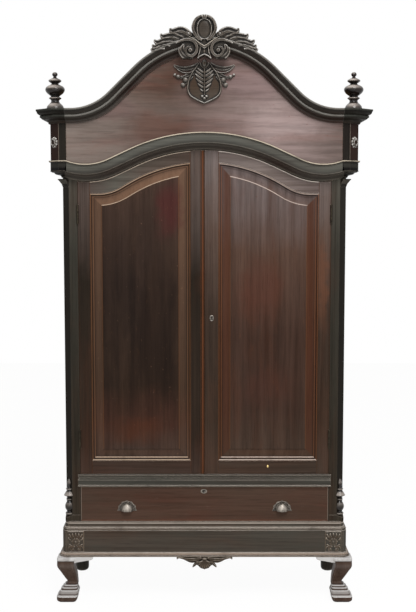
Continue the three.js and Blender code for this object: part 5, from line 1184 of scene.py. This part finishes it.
def stroke(bm, points, width, height, face, back=6, groove=0.0, steps=5, rubShading=0.0):
    # points are x, z and shares of the width and height
    curve = smoothCurve(points, steps) if steps > 1 else points
    rings = []
    for (x, z, w, h), (nx, nz) in zip(curve, crossings(curve)):
        half = max(w, 0.04) * width / 2
        top = max(h, 0.06) * height
        edge = [(1, -back), (1, 0.05 * top), (0.88, 0.5 * top), (0.55, 0.86 * top)]
        section = [(-u, v) for u, v in edge] + [(0, top * (1 - groove))] + edge[::-1]
        rings.append([Vector(((x + nx * half * u) * mm, (face - v) * mm, (z + nz * half * u) * mm))
                      for u, v in section])
    addRings(bm, rings, [rubShading] * len(rings))


def leaf(bm, points, width, height, face, back=6, ribs=2):
    # A broad lobe with raised ribs that run together at its tip
    stroke(bm, points, width, height * 0.7, face, back)
    curve = smoothCurve(points, 4)
    for rib in range(ribs):
        aside = (rib / (ribs - 1) - 0.5) * 0.62
        shifted = []
        for (x, z, w, h), (nx, nz) in zip(curve, crossings(curve)):
            shift = aside * width * max(w, 0.04)
            shifted.append((x + nx * shift, z + nz * shift, max(w, 0.3), h))
        stroke(bm, shifted, width * 0.9 / (ribs + 0.4), height, face, 2, 0, 1)


def lobe(bm, points, width, height, face, back):
    # A leaf with ribs on both its halves, as a carver's veiner leaves them
    leaf(bm, points, width, height, face, back)
    for aside in (-crest["ribAside"], crest["ribAside"]):
        rib = [(x, z + aside * w, 0.8 * w, h) for x, z, w, h in points[1:-1]]
        stroke(bm, rib, crest["rib"], height + 1, face, 2)


def bud(bm, x, z, halfX, halfZ, height, face, steps=14):
    rings = []
    for lift in spread(0, math.pi, steps)[1:-1]:
        around = circle(steps, halfX * math.sin(lift), height * math.sin(lift))
        rings.append([Vector(((x + across) * mm, (face - out) * mm, (z + halfZ * math.cos(lift)) * mm))
                      for across, out in around])
    addRings(bm, rings)


def ground(bm, outline, front, back):
    addRings(bm, [[Vector((x * mm, y * mm, z * mm)) for x, z in outline] for y in (front, back)])


def spiral(x, z, radius, turns, start, inward):
    # A volute wound from its outside to its eye, as stroke points
    made = []
    for t in spread(0, 1, int(turns * 10)):
        angle = start - 2 * math.pi * turns * t
        reach = radius * (1 - t * (1 - inward))
        made.append((x + reach * math.cos(angle), z + reach * math.sin(angle), 1 - 0.5 * t, 0.75 + 0.4 * t))
    return made


def placed(points, side=1, z=0.0, x=0.0):
    return [(x + side * along, z + up, *rest) for along, up, *rest in points]


def wholeOutline(half, lift):
    # The right half of an outline and its mirror image
    return [(x, z + lift) for x, z in half] + [(-x, z + lift) for x, z in reversed(half) if x]


def carve(bm, face, lift, rows):
    # Each row is a tool, its points, width, height, distance behind the face, and its back and groove or ribs
    for tool, points, width, height, behind, *more in rows:
        for side in (1, -1):
            tool(bm, placed(points, side, lift), width, height, face + behind, *more)


def fuseCarving(name, bm, voxel, replaced=None, wood="carved", ridge=1.0,
                flatWarmth=0.0):
    mesh = bpy.data.meshes.new(name + "_rough")
    bmesh.ops.recalc_face_normals(bm, faces=bm.faces)
    bm.to_mesh(mesh)
    bm.free()
    rough = bpy.data.objects.new(name + "_rough", mesh)
    bpy.context.scene.collection.objects.link(rough)
    remesh = rough.modifiers.new("fuse", "REMESH")
    remesh.mode = "VOXEL"
    remesh.voxel_size = voxel * mm
    soften = rough.modifiers.new("soften", "SMOOTH")
    soften.iterations = 2
    soften.factor = 0.5
    graph = bpy.context.evaluated_depsgraph_get()
    made = bpy.data.meshes.new_from_object(rough.evaluated_get(graph), depsgraph=graph)
    bpy.data.objects.remove(rough)
    made.name = name
    # A carving that replaces a node stays inside its box
    for vertex in made.vertices if replaced else ():
        for axis in range(3):
            vertex.co[axis] = min(max(vertex.co[axis], lowest[replaced][axis]), highest[replaced][axis])
    rubShadeCarving(made, voxel * mm, ridge, flatWarmth)
    addPiece(name, made, woodMaterial(wood, "across"), replaced, 180)


def rubShadeCarving(mesh, voxel, ridge, flatWarmth):
    # Ridges are painted pale, wear with a painted highlight, and hollows dark, dirt with painted shade: both
    # follow how far a point stands off its neighbours
    arrays = []
    for source, word, size, kind in ((mesh.vertices, "co", 3, float), (mesh.vertices, "normal", 3, float),
                                     (mesh.edges, "vertices", 2, numpy.int32)):
        values = numpy.empty(len(source) * size, dtype=kind)
        source.foreach_get(word, values)
        arrays.append(values.reshape(-1, size))
    points, normals, pairs = arrays
    joined = numpy.bincount(pairs.ravel(), minlength=len(points)).clip(1)

    def aroundMean(values):
        total = numpy.zeros_like(values)
        numpy.add.at(total, pairs[:, 0], values[pairs[:, 1]])
        numpy.add.at(total, pairs[:, 1], values[pairs[:, 0]])
        return total / (joined[:, None] if values.ndim > 1 else joined)

    wide = points
    for _ in range(7):
        wide = aroundMean(wide)
    stand = ((points - wide) * normals).sum(axis=1) / voxel
    for _ in range(3):
        stand = aroundMean(stand)
    # The painted highlight is strongest on ridges that face up, as if lit from above
    toplight = numpy.clip(0.62 + 0.75 * normals[:, 2], 0.2, 1.2)
    rubShading = numpy.where(stand > 0, (stand - 0.06) * 2.2 * ridge * toplight, stand * 2.8)
    warm = flatWarmth * numpy.clip(1.3 - 5 * numpy.abs(stand), 0, 1) * (normals[:, 1] < -0.9)
    for word, values in (("rubShading", numpy.clip(rubShading, -0.9, 1.0)), ("warm", warm)):
        mesh.attributes.new(word, "FLOAT", "POINT").data.foreach_set("value", values.astype(numpy.float32))


# Petals round a middle, or flutes in a fan: the same tree serves flowers, rosettes and the shell
def fanTree():
    tree, given = newTree("petal_fan", {"Count": "Int", "Start": "Float", "Sweep": "Float", "Shrink": "Float",
                                        "Middle": "Vector"})
    count, start, sweep, shrink, middle = given.outputs[1:6]
    row = addNode(tree, lineNode, {"Count": count, "Start Location": middle, "Offset": (0, 0, 0)})
    last = addNode(tree, mathNode, [count, 1.0], operation="SUBTRACT")
    share = addNode(tree, mathNode, [addNode(tree, "GeometryNodeInputIndex"), last], operation="DIVIDE")
    turn = addNode(tree, mathNode, [share, sweep, start], operation="MULTIPLY_ADD")
    aside = addNode(tree, mathNode, [share, 0.5], operation="SUBTRACT")
    aside = addNode(tree, mathNode, [aside], operation="ABSOLUTE")
    less = addNode(tree, mathNode, [aside, shrink], operation="MULTIPLY")
    scale = addNode(tree, mathNode, [1.0, less], operation="SUBTRACT")
    way = addNode(tree, joinNode, {"Y": turn})
    petals = addNode(tree, instanceNode, {"Points": row, "Instance": given.outputs[0], "Rotation": way,
                                          "Scale": scale})
    return endTree(tree, given, petals)


# Leaflets in pairs up a stem, longest a third of the way down
def leafletTree():
    tree, given, row = rowTree("leaflet_pairs", "Z", {"Least": "Float"})
    count, least = given.outputs["Count"], given.outputs["Least"]
    share = addNode(tree, mathNode, [addNode(tree, "GeometryNodeInputIndex"), count], operation="DIVIDE")
    bulge = addNode(tree, mathNode, [share, 2.9], operation="MULTIPLY")
    bulge = addNode(tree, mathNode, [bulge], operation="SINE")
    rest = addNode(tree, mathNode, [1.0, least], operation="SUBTRACT")
    scale = addNode(tree, mathNode, [bulge, rest, least], operation="MULTIPLY_ADD")
    right = addNode(tree, instanceNode, {"Points": row, "Instance": given.outputs[0], "Scale": scale})
    right = addNode(tree, "GeometryNodeRealizeInstances", [right])
    left = addNode(tree, "GeometryNodeTransform", {"Geometry": right, "Scale": (-1, 1, 1)})
    left = addNode(tree, "GeometryNodeFlipFaces", [left])
    pairs = addNode(tree, "GeometryNodeJoinGeometry", [left])
    feed(tree, pairs, [right])
    return endTree(tree, given, pairs)


petalFan = fanTree()
leafletPairs = leafletTree()


def addFan(bm, petal, width, height, face, count, start, sweep, middle, shrink=0.0, groove=0.3, back=4):
    # petal is an outline along +Z from the middle, and angles turn it towards +X
    one = newBody()
    stroke(one, petal, width, height, 0, back, groove, 4)
    bm.from_mesh(bakeTree(petalFan, meshFrom(one, "petal"), woodMaterial("carved", "across"), {
        "Count": count, "Start": math.radians(start), "Sweep": math.radians(sweep), "Shrink": shrink,
        "Middle": (middle[0] * mm, face * mm, middle[1] * mm)}))


# Crest: relief is the depth of its carving in front of the medallion's face, wings how far that of the wings
# lies behind
crest = {"voxel": 1.65, "leafHeight": 13, "leafWidth": 25, "band": 13, "rib": 4.4, "ribAside": 6.5,
         "relief": 12, "wings": 9, "sink": 0.5}


def crestCarving():
    face = lowest["crest"].y / mm + crest["relief"]
    wings = crest["wings"]
    behind = hoodFront / mm - crest["sink"]
    bm = newBody()
    # Ground of the wings, on the cornice
    wing = [(30, 14), (62, 20), (92, 28), (120, 22), (134, 8), (160, 6), (174, -4), (192, -22), (200, -34),
            (213, -50), (217, -58)]
    line = [(x, corniceLine.height(x * mm) / mm - crown + 0.4)
            for x in (212, 190, 160, 130, 100, 70, 40, 15, 0)]
    for side in (1, -1):
        ground(bm, placed([(0, 40)] + wing + line, side, crown), face + wings, face + 30)
    lobes = [
        [(58, 2, 0.7, 0.7), (68, 19, 0.95, 1), (86, 29, 1, 1), (104, 30, 1, 1), (119, 25, 1, 1),
         (130, 23, 0.85, 1), (137, 27, 0.65, 0.9), (139, 36, 0.3, 0.6)],
        [(72, -6, 0.8, 0.7), (90, 9, 1, 1), (112, 13, 0.9, 0.9), (130, 6, 0.5, 0.6)],
        [(90, -12, 0.8, 0.7), (114, 3, 1, 1), (136, 6, 1, 1), (154, 3, 1, 1), (167, 1, 0.85, 1),
         (174, 5, 0.65, 0.9), (177, 14, 0.3, 0.6)],
        [(114, -20, 0.8, 0.7), (138, -11, 1, 1), (162, -13, 1, 1), (180, -20, 0.95, 1), (192, -22, 0.8, 1),
         (200, -18, 0.6, 0.9), (203, -10, 0.3, 0.6)],
        [(138, -31, 0.8, 0.7), (162, -26, 0.9, 1), (182, -32, 0.85, 1), (196, -39, 0.8, 0.95),
         (206, -39, 0.65, 0.9), (212, -30, 0.3, 0.6)],
        [(162, -42, 0.8, 0.7), (184, -43, 0.8, 0.9), (200, -51, 0.75, 0.9), (211, -53, 0.6, 0.8),
         (218, -46, 0.3, 0.6)]]
    vein = [(66, -8, 0.7, 0.6), (100, -14, 0.8, 0.8), (136, -28, 0.8, 0.8), (176, -48, 0.6, 0.6),
            (208, -62, 0.3, 0.4)]
    carve(bm, face, crown, [(lobe, points, crest["leafWidth"], crest["leafHeight"], wings, 4)
                            for points in lobes])
    carve(bm, face, crown, [(stroke, vein, 8, 11, wings, 4, 0.3)])
    # Small volutes beside the medallion
    for side in (1, -1):
        stroke(bm, placed(spiral(65, 12 + crown, 12, 1.3, math.radians(150), 0.2), side), 7, 14, face + 7, 6)
        bud(bm, side * 65, 12 + crown, 4.5, 4.5, 13, face + 3)
    # Medallion: egg-shaped ring, keystone leaf, crossing side leaves and a bare domed oval
    plate = [(0, 86), (24, 80), (42, 62), (47, 40), (44, 16), (30, -4), (0, -18)]
    egg = [(0, 84), (22, 79), (38, 64), (45, 42), (42, 18), (30, 0), (10, -14)]
    inner = [(0, 70), (16, 65), (26, 50), (29, 31), (25, 8), (13, -6), (0, -10)]
    ground(bm, wholeOutline(plate, crown), face, face + 26)
    carve(bm, face, crown, [(stroke, [(x, z, 1, 1) for x, z in egg], 12, 11, 0, 6, 0.25),
                            (stroke, [(x, z, 1, 1) for x, z in inner], 4.5, 8, 0, 6)])
    bud(bm, 0, 30 + crown, 23, 36, 4.5, face)
    carve(bm, face, crown, [(leaf, [(49, 50, 0.3, 0.5), (48, 34, 0.8, 1), (38, 8, 1, 1), (20, -14, 0.6, 0.8)],
                             11, 12, -1)])
    for aside in (-1, 0, 1):
        stroke(bm, [(aside * 3, 68 + crown, 0.6, 0.7), (aside * 8, 80 + crown, 1, 1),
                    (aside * 11, 88 + crown - abs(aside) * 3, 0.6, 0.7)], 9, 12, face - 1, 6)
    # Collar under the medallion, a pale V with curled ends
    collar = [(62, 0, 0.5, 0.6), (50, -6, 0.7, 0.9), (38, -13, 1, 1), (22, -25, 1, 1), (0, -39, 1, 1)]
    under = [(36, -22, 0.6, 0.8), (20, -33, 1, 1), (0, -47, 1, 1)]
    collarPiece = newBody()
    carve(bm, face, crown, [(stroke, collar, 6.5, 9.4, -1, 10)])
    carve(collarPiece, face, crown, [(stroke, collar, 3.6, 10.8, -1, 0, 0, 5, 1.0)])
    addPiece("crest_collar", collarPiece, woodMaterial("moulding", "across"), None, 60)
    carve(bm, face, crown, [(stroke, under, 5, 8, -1, 10)])
    # Big scrolls in front of the cornice: the cornice's fillet runs over them and winds in to the eye
    band = [(116, -26, 0.5, 0.5), (98, -18, 0.8, 0.8), (78, -13, 1, 1), (56, -14, 1, 1), (38, -25, 1, 1),
            (30, -45, 1, 1), (35, -66, 1, 1), (52, -78, 0.95, 1), (70, -71, 0.85, 1.05), (76, -56, 0.75, 1.1),
            (68, -43, 0.65, 1.1), (56, -43, 0.5, 1.1)]
    shells = [
        [(48, -82, 0.5, 0.7), (68, -87, 0.9, 0.9), (86, -78, 1, 1), (98, -60, 0.8, 0.8),
         (101, -42, 0.3, 0.5)],
        [(74, -80, 0.5, 0.7), (86, -64, 0.9, 0.9), (90, -46, 0.9, 0.9), (84, -30, 0.4, 0.6)]]
    for side in (1, -1):
        stroke(bm, placed(band, side, crown), crest["band"], 15, face - 1, 40, 0.25)
        bud(bm, side * 57, crown - 55, 9, 9, 17, face)
        for shell in shells:
            leaf(bm, placed(shell, side, crown), 20, 11, face + 2, 30)
        ground(bm, [(side * (65 + x), crown - 50 + z) for x, z in circle(28, 31, 33)], face + 3, behind)
    # Waisted panel between the scrolls, its foot cut to a small arch
    neck = [(32, 6), (26, -12), (19, -30), (17, -47), (20, -66), (28, -88), (15, -79), (0, -72)]
    ground(bm, wholeOutline(neck, crown), face + 2, behind)
    waist = [(24, -16, 0.7, 0.7), (19, -32, 1, 1), (17, -48, 1, 1), (20, -66, 1, 1), (28, -86, 0.6, 0.8)]
    foot = [(27, -87, 0.8, 1), (15, -77, 1, 1), (0, -70, 1, 1)]
    carve(bm, face, crown, [(stroke, waist, 4.5, 6, 2, 8), (stroke, foot, 5.5, 8, 2, 8)])
    stem = [(0, -44, 0.6, 0.6), (0, -56, 1, 1), (0, -66, 0.6, 0.8)]
    stroke(bm, placed(stem, 1, crown), 8, 4, face + 2, 6)
    fuseCarving("crest_carving", bm, crest["voxel"], "crest", ridge=1.15, flatWarmth=0.15)


cartouche = {"voxel": 1.3, "leaflets": 6, "pitch": 15.4, "lowest": -216}


def cartoucheCarving():
    face = hoodFront / mm - gap / mm
    bm = newBody()
    field = [(0, -98), (24, -98), (44, -128), (60, -160), (66, -196), (58, -230), (34, -247), (0, -262)]
    ground(bm, wholeOutline(field, crown), face - 4, face)
    # Shield ring: a thin raised moulding, pointed below
    ring = [(22, -100, 0.6, 0.8), (40, -124, 0.8, 1), (57, -152, 0.9, 1), (67, -182, 1, 1), (68, -208, 1, 1),
            (58, -231, 1, 1), (34, -247, 1, 1), (0, -263, 1, 1)]
    carve(bm, face, crown, [(stroke, ring, 7.5, 13, -3, 6)])
    # Herringbone palmette
    stem = [(0, -116, 0.6, 0.8), (0, -170, 1, 1), (0, -230, 0.5, 0.7)]
    stroke(bm, placed(stem, 1, crown), 7, 14, face - 3, 6)
    one = newBody()
    stroke(one, [(0, 0, 0.7, 0.9), (11, 5, 1, 1), (24, 14, 1, 1), (37, 27, 0.4, 0.5)], 12.5, 14, 0, 5, 0.2, 4)
    bm.from_mesh(bakeTree(leafletPairs, meshFrom(one, "leaflet"), woodMaterial("carved", "across"), {
        "Count": cartouche["leaflets"], "Pitch": cartouche["pitch"] * mm, "Least": 0.5,
        "First": (0, (face - 3) * mm, (crown + cartouche["lowest"]) * mm)}))
    for x, z in ((0, -243), (9, -235), (-9, -235)):
        bud(bm, x, z + crown, 6, 6, 9, face - 4)
    # Bud over the palmette, in a collar of small leaves
    bud(bm, 0, crown - 101, 11, 18, 21, face - 2)
    small = [(3, -120, 0.8, 1), (14, -108, 1, 1), (19, -94, 0.4, 0.6)]
    # Upper leaves, spread like wings over a thin rim
    rim = [(28, -112, 0.7, 0.8), (44, -130, 1, 1), (68, -139, 1, 1), (98, -134, 1, 1), (128, -109, 0.35, 0.5)]
    wing = [(24, -100, 0.6, 0.7), (48, -116, 1, 1), (80, -122, 1, 1), (104, -117, 0.7, 0.8),
            (124, -106, 0.2, 0.3)]
    # Lower clusters: a curling leaf with seed buds
    lower = [(44, -140, 0.7, 0.7), (64, -147, 1, 1), (88, -156, 0.8, 1), (108, -156, 0.6, 0.9),
             (126, -144, 0.25, 0.4)]
    twist = [(50, -152, 0.7, 0.7), (66, -168, 1, 1), (82, -184, 0.8, 0.9), (90, -198, 0.25, 0.5)]
    carve(bm, face, crown, [(stroke, small, 6, 11, -2, 5, 0.3), (stroke, rim, 6, 15, -1, 4),
                            (leaf, wing, 20, 10, -1, 4), (leaf, lower, 15, 12, -1, 4),
                            (leaf, twist, 15, 12, -1, 4)])
    seeds = [(78, -168, 13, 18), (87, -188, 11, 14), (108, -155, 9, 15), (122, -147, 6.5, 11)]
    for side in (1, -1):
        for x, z, size, height in seeds:
            bud(bm, side * x, z + crown, size, size, height, face - 1)
    fuseCarving("frieze_cartouche_carving", bm, cartouche["voxel"], "frieze_cartouche", ridge=0.9,
                flatWarmth=0.7)


apron = {"voxel": 1.1, "flutes": 9, "fan": 132, "relief": 11}


def apronCarving():
    low, high = lowest["apron_carving"], highest["apron_carving"]
    top, front, back = high.z / mm, low.y / mm, high.y / mm
    plate = front + apron["relief"]
    bm = newBody()
    edge = [(0, 0), (121, 0), (121, -11), (111, -8), (100, -8), (84, -16), (66, -24), (50, -25), (42, -28),
            (52, -42), (46, -46), (34, -36), (28, -40), (17, -51), (0, -56)]
    ground(bm, wholeOutline(edge, top), plate, back)
    flute = [(0, 4, 0.5, 0.7), (0, 20, 0.8, 1), (0, 34, 1.1, 0.9), (0, 42, 0.7, 0.5)]
    addFan(bm, flute, 8.5, 11, plate, apron["flutes"], 180 - apron["fan"] / 2, apron["fan"], (0, top - 13),
           0.35, 0.15)
    bud(bm, 0, top - 9, 11, 7, 10, plate)
    carve(bm, plate, top, [
        (leaf, [(14, -4, 0.6, 0.8), (40, -9, 1, 1), (70, -10, 1, 1), (98, -5, 0.6, 0.8), (112, -4, 0.4, 0.6),
                (120, -11, 0.2, 0.4)], 14, 9, 0, 4, 3),
        (leaf, [(24, -16, 0.6, 0.8), (44, -19, 1, 1), (62, -20, 0.8, 0.8), (86, -12, 0.3, 0.4)], 12, 9, 0, 4),
        (leaf, [(28, -22, 0.6, 0.9), (36, -30, 0.9, 1), (45, -38, 0.8, 0.9), (52, -46, 0.3, 0.5)],
         10, 10, 0, 4)])
    for side in (1, -1):
        bud(bm, side * 33, top - 22, 6, 6, 9, plate)
    fuseCarving("apron_carving_fine", bm, apron["voxel"], "apron_carving", "brownCarved")


# Corner carvings of the plinth: a flower, and strokes with their width and height on both sides of it
cornerCarving = {
    "voxel": 1.1, "petals": 8, "sink": 2.6, "moulding": 15, "base": 17, "fromEnd": 72, "strokes": [
    ([(8, -17, 0.6, 0.7), (18, -20, 1, 1), (28, -12, 0.5, 0.6)], 9, 7),
    ([(4, -22, 0.6, 0.8), (14, -24, 1, 1), (26, -22, 0.9, 1), (30, -30, 0.6, 0.8)], 7, 7),
    ([(5, 17, 0.7, 0.7), (13, 25, 1, 1), (13, 36, 0.5, 0.6)], 9, 8),
    ([(13, 15, 0.7, 0.7), (23, 22, 1, 1), (28, 34, 0.5, 0.6)], 9, 8),
    ([(20, 6, 0.6, 0.7), (28, 10, 1, 1), (31, 19, 0.3, 0.5)], 7, 6)]}


def plinthCarvings():
    low, high = lowest["plinth_front"], highest["plinth_front"]
    face = low.y / mm + cornerCarving["moulding"] - cornerCarving["sink"]
    middle = (low.z / mm + cornerCarving["base"] + high.z / mm) / 2
    centre = high.x / mm - cornerCarving["fromEnd"]
    count = cornerCarving["petals"]
    for side, hand in reversed(sides):
        bm = newBody()
        addFan(bm, [(0, 4, 0.5, 0.8), (0, 11, 1, 1), (0, 19, 0.6, 0.6)], 10, 8, face, count, 0,
               360 - 360 / count, (centre, middle))
        bud(bm, centre, middle, 6, 6, 10, face)
        for flip in (1, -1):
            for points, width, height in cornerCarving["strokes"]:
                stroke(bm, placed(points, flip, middle, centre), width, height, face, 3, 0.3)
            roll = placed(spiral(14, -34, 9, 1.2, math.radians(90), 0.25), flip, middle, centre)
            stroke(bm, roll, 5, 7, face, 3)
            bud(bm, centre + flip * 14, middle - 34, 3, 3, 8, face)
        tip = placed([(0, 17, 0.8, 0.7), (0, 28, 1, 1), (0, 38, 0.4, 0.6)], 1, middle, centre)
        stroke(bm, tip, 9, 8, face, 3, 0.3)
        for vertex in bm.verts:
            vertex.co.x *= side
        fuseCarving(hand + "_plinth_carving", bm, cornerCarving["voxel"], None, "brownCarved",
                    0.7)


rosette = {"voxel": 1.0, "petals": 9, "ring": 11, "halfHeight": 1.12, "lift": 75}


def hoodRosettes():
    # Carved rosettes on the cants of the corner blocks, worked flat and then turned to the cant
    count = rosette["petals"]
    half = hoodCant / 2
    for side, hand in reversed(sides):
        bm = newBody()
        addFan(bm, [(0, 10, 0.7, 0.8), (0, 14, 1, 1), (0, 20, 0.9, 0.6)], 9, 9, 0, count, 0,
               360 - 360 / count, (0, 0), 0, 0.25, 2)
        ring = [(rosette["ring"] * math.cos(turn), rosette["ring"] * math.sin(turn), 1, 1)
                for turn in spread(0, 2 * math.pi, 24)]
        stroke(bm, ring, 4, 10.5, 0, 2, 0, 1)
        outward, along = cantAxes(side)
        centre = Vector((side * (hoodHalf - half), hoodFront + half, blockSeat + rosette["lift"] * mm))
        for vertex in bm.verts:
            x, y, z = vertex.co
            vertex.co = centre + along * x - outward * y + Vector((0, 0, z * rosette["halfHeight"]))
        fuseCarving(hand + "_hood_rosette", bm, rosette["voxel"], ridge=2.4)


crestCarving()
cartoucheCarving()
apronCarving()
plinthCarvings()
hoodRosettes()
print("carving made")

# Finishes of the frame's own nodes: a wood and its grain, then the nodes that have it
nodeFinishes = {
    ("plinth", "across"): ["plinth_front"], ("plinth", "deep"): ["plinth_sides_and_back"],
    ("stand", "across"): ["stand_top"], ("side", "upright"): ["left_side", "right_side"],
    ("post", "upright"): ["left_corner_post", "right_corner_post"], ("frieze", "across"): ["frieze_board"],
    ("block", "upright"): ["left_hood_side", "right_hood_side"], ("side", "across"): ["head_rail"],
    ("drawer", "across"): ["drawer_front"], ("inner", "deep"): ["drawer_sides_and_back"],
    ("inner", "across"): ["case_floor", "lower_shelf", "upper_shelf", "top_board", "drawer_bottom"]}
for side, hand in sides:
    nodeFinishes[hand + "Frame", "upright"] = [hand + "_door_hinge_stile", hand + "_door_meeting_stile"]
    nodeFinishes[hand + "Frame", "across"] = [hand + "_door_bottom_rail"]
nodeWoods = {name: finish for finish, names in nodeFinishes.items() for name in names}
nodeMetals = {"door_lock": "iron", "drawer_lock": "iron", "left_door_bolt": "brass",
              "door_lock_bolt": "brass", "drawer_lock_bolt": "brass"}


def finishNodes():
    for name, node in nodes.items():
        if name in nodeMetals or "hinge" in name and name not in nodeWoods:
            material = metalMaterial(nodeMetals.get(name, "hinge"))
        else:
            material = woodMaterial(*nodeWoods.get(name, ("ebonised", "across")))
        node.data.materials.clear()
        node.data.materials.append(material)


finishNodes()
print("finishes laid on the frame")

# Studio: a pale floor and backdrop, white to the camera and in reflections, and soft lamps
studio = {
    "floorSize": 14, "floorColour": "#dedcd8", "shownWhite": 0.9, "glow": 1.06, "worldStrength": 0.29,
    "lamps": [
    {"name": "key", "place": (0.9, -3.5, 5.0), "aim": (0, -0.2, 1.3), "size": 2.2, "power": 158},
    {"name": "sheen", "place": (0.95, -4.7, 2.35), "aim": (0.2, -0.2, 1.5), "size": 1.1, "power": 24},
    {"name": "fill", "place": (-1.2, -5.0, 1.2), "aim": (0, -0.2, 1.1), "size": 2.4, "power": 28}]}
cameraSettings = {"aside": 0.015, "distance": 4.5, "height": 1.701, "pitch": 5.222, "focalPixels": 1060.0,
                  "framePixels": 612}


def seenOrMirrored(tree):
    rays = addNode(tree, "ShaderNodeLightPath")
    inGloss = addNode(tree, mathNode, [rays.outputs["Is Glossy Ray"], rays.outputs["Is Transmission Ray"]],
                      operation="MAXIMUM")
    return addNode(tree, mathNode, [rays.outputs["Is Camera Ray"], inGloss], operation="MAXIMUM")


def buildStudio():
    half = studio["floorSize"] / 2
    corners = [(-half, -half, 0), (half, -half, 0), (half, half, 0), (-half, half, 0)]
    mesh = bpy.data.meshes.new("studio_floor")
    mesh.from_pydata(corners, [], [(0, 1, 2, 3)])
    floor = bpy.data.objects.new("studio_floor", mesh)
    bpy.context.scene.collection.objects.link(floor)
    tree, shader = newMaterial("backdrop_paper")
    feed(tree, shader, {"Base Color": linear(studio["floorColour"]), "Roughness": 0.95})
    glow = addNode(tree, "ShaderNodeEmission", {"Color": (1, 1, 1, 1), "Strength": studio["glow"]})
    share = addNode(tree, mathNode, [seenOrMirrored(tree), studio["shownWhite"]], operation="MULTIPLY")
    mixed = addNode(tree, "ShaderNodeMixShader", [share, shader, glow])
    feed(tree, tree.nodes["Material Output"], {"Surface": mixed})
    mesh.materials.append(materials["backdrop_paper"])
    world = bpy.data.worlds.new("studio")
    bpy.context.scene.world = world
    world.use_nodes = True
    tree = world.node_tree
    strength = addNode(tree, rangeNode, {"Value": seenOrMirrored(tree), "To Min": studio["worldStrength"],
                                         "To Max": 1.0})
    feed(tree, tree.nodes["Background"], {"Color": (1, 1, 1, 1), "Strength": strength})
    for lamp in studio["lamps"]:
        light = bpy.data.lights.new(lamp["name"], "AREA")
        light.size = lamp["size"]
        light.energy = lamp["power"]
        holder = bpy.data.objects.new(lamp["name"], light)
        holder.location = lamp["place"]
        aim = Vector(lamp["aim"]) - Vector(lamp["place"])
        holder.rotation_euler = aim.to_track_quat("-Z", "Y").to_euler()
        bpy.context.scene.collection.objects.link(holder)


def buildCamera():
    camera = bpy.data.cameras.new("camera")
    camera.sensor_fit = "AUTO"
    camera.sensor_width = 36
    camera.lens = cameraSettings["focalPixels"] / cameraSettings["framePixels"] * camera.sensor_width
    camera.clip_end = 100
    holder = bpy.data.objects.new("camera", camera)
    holder.location = (cameraSettings["aside"], caseFront - cameraSettings["distance"],
                       cameraSettings["height"])
    holder.rotation_euler = (math.radians(90 - cameraSettings["pitch"]), 0, 0)
    bpy.context.scene.collection.objects.link(holder)
    bpy.context.scene.camera = holder


buildStudio()
buildCamera()
bpy.context.scene.view_settings.view_transform = "Standard"
print("studio set")
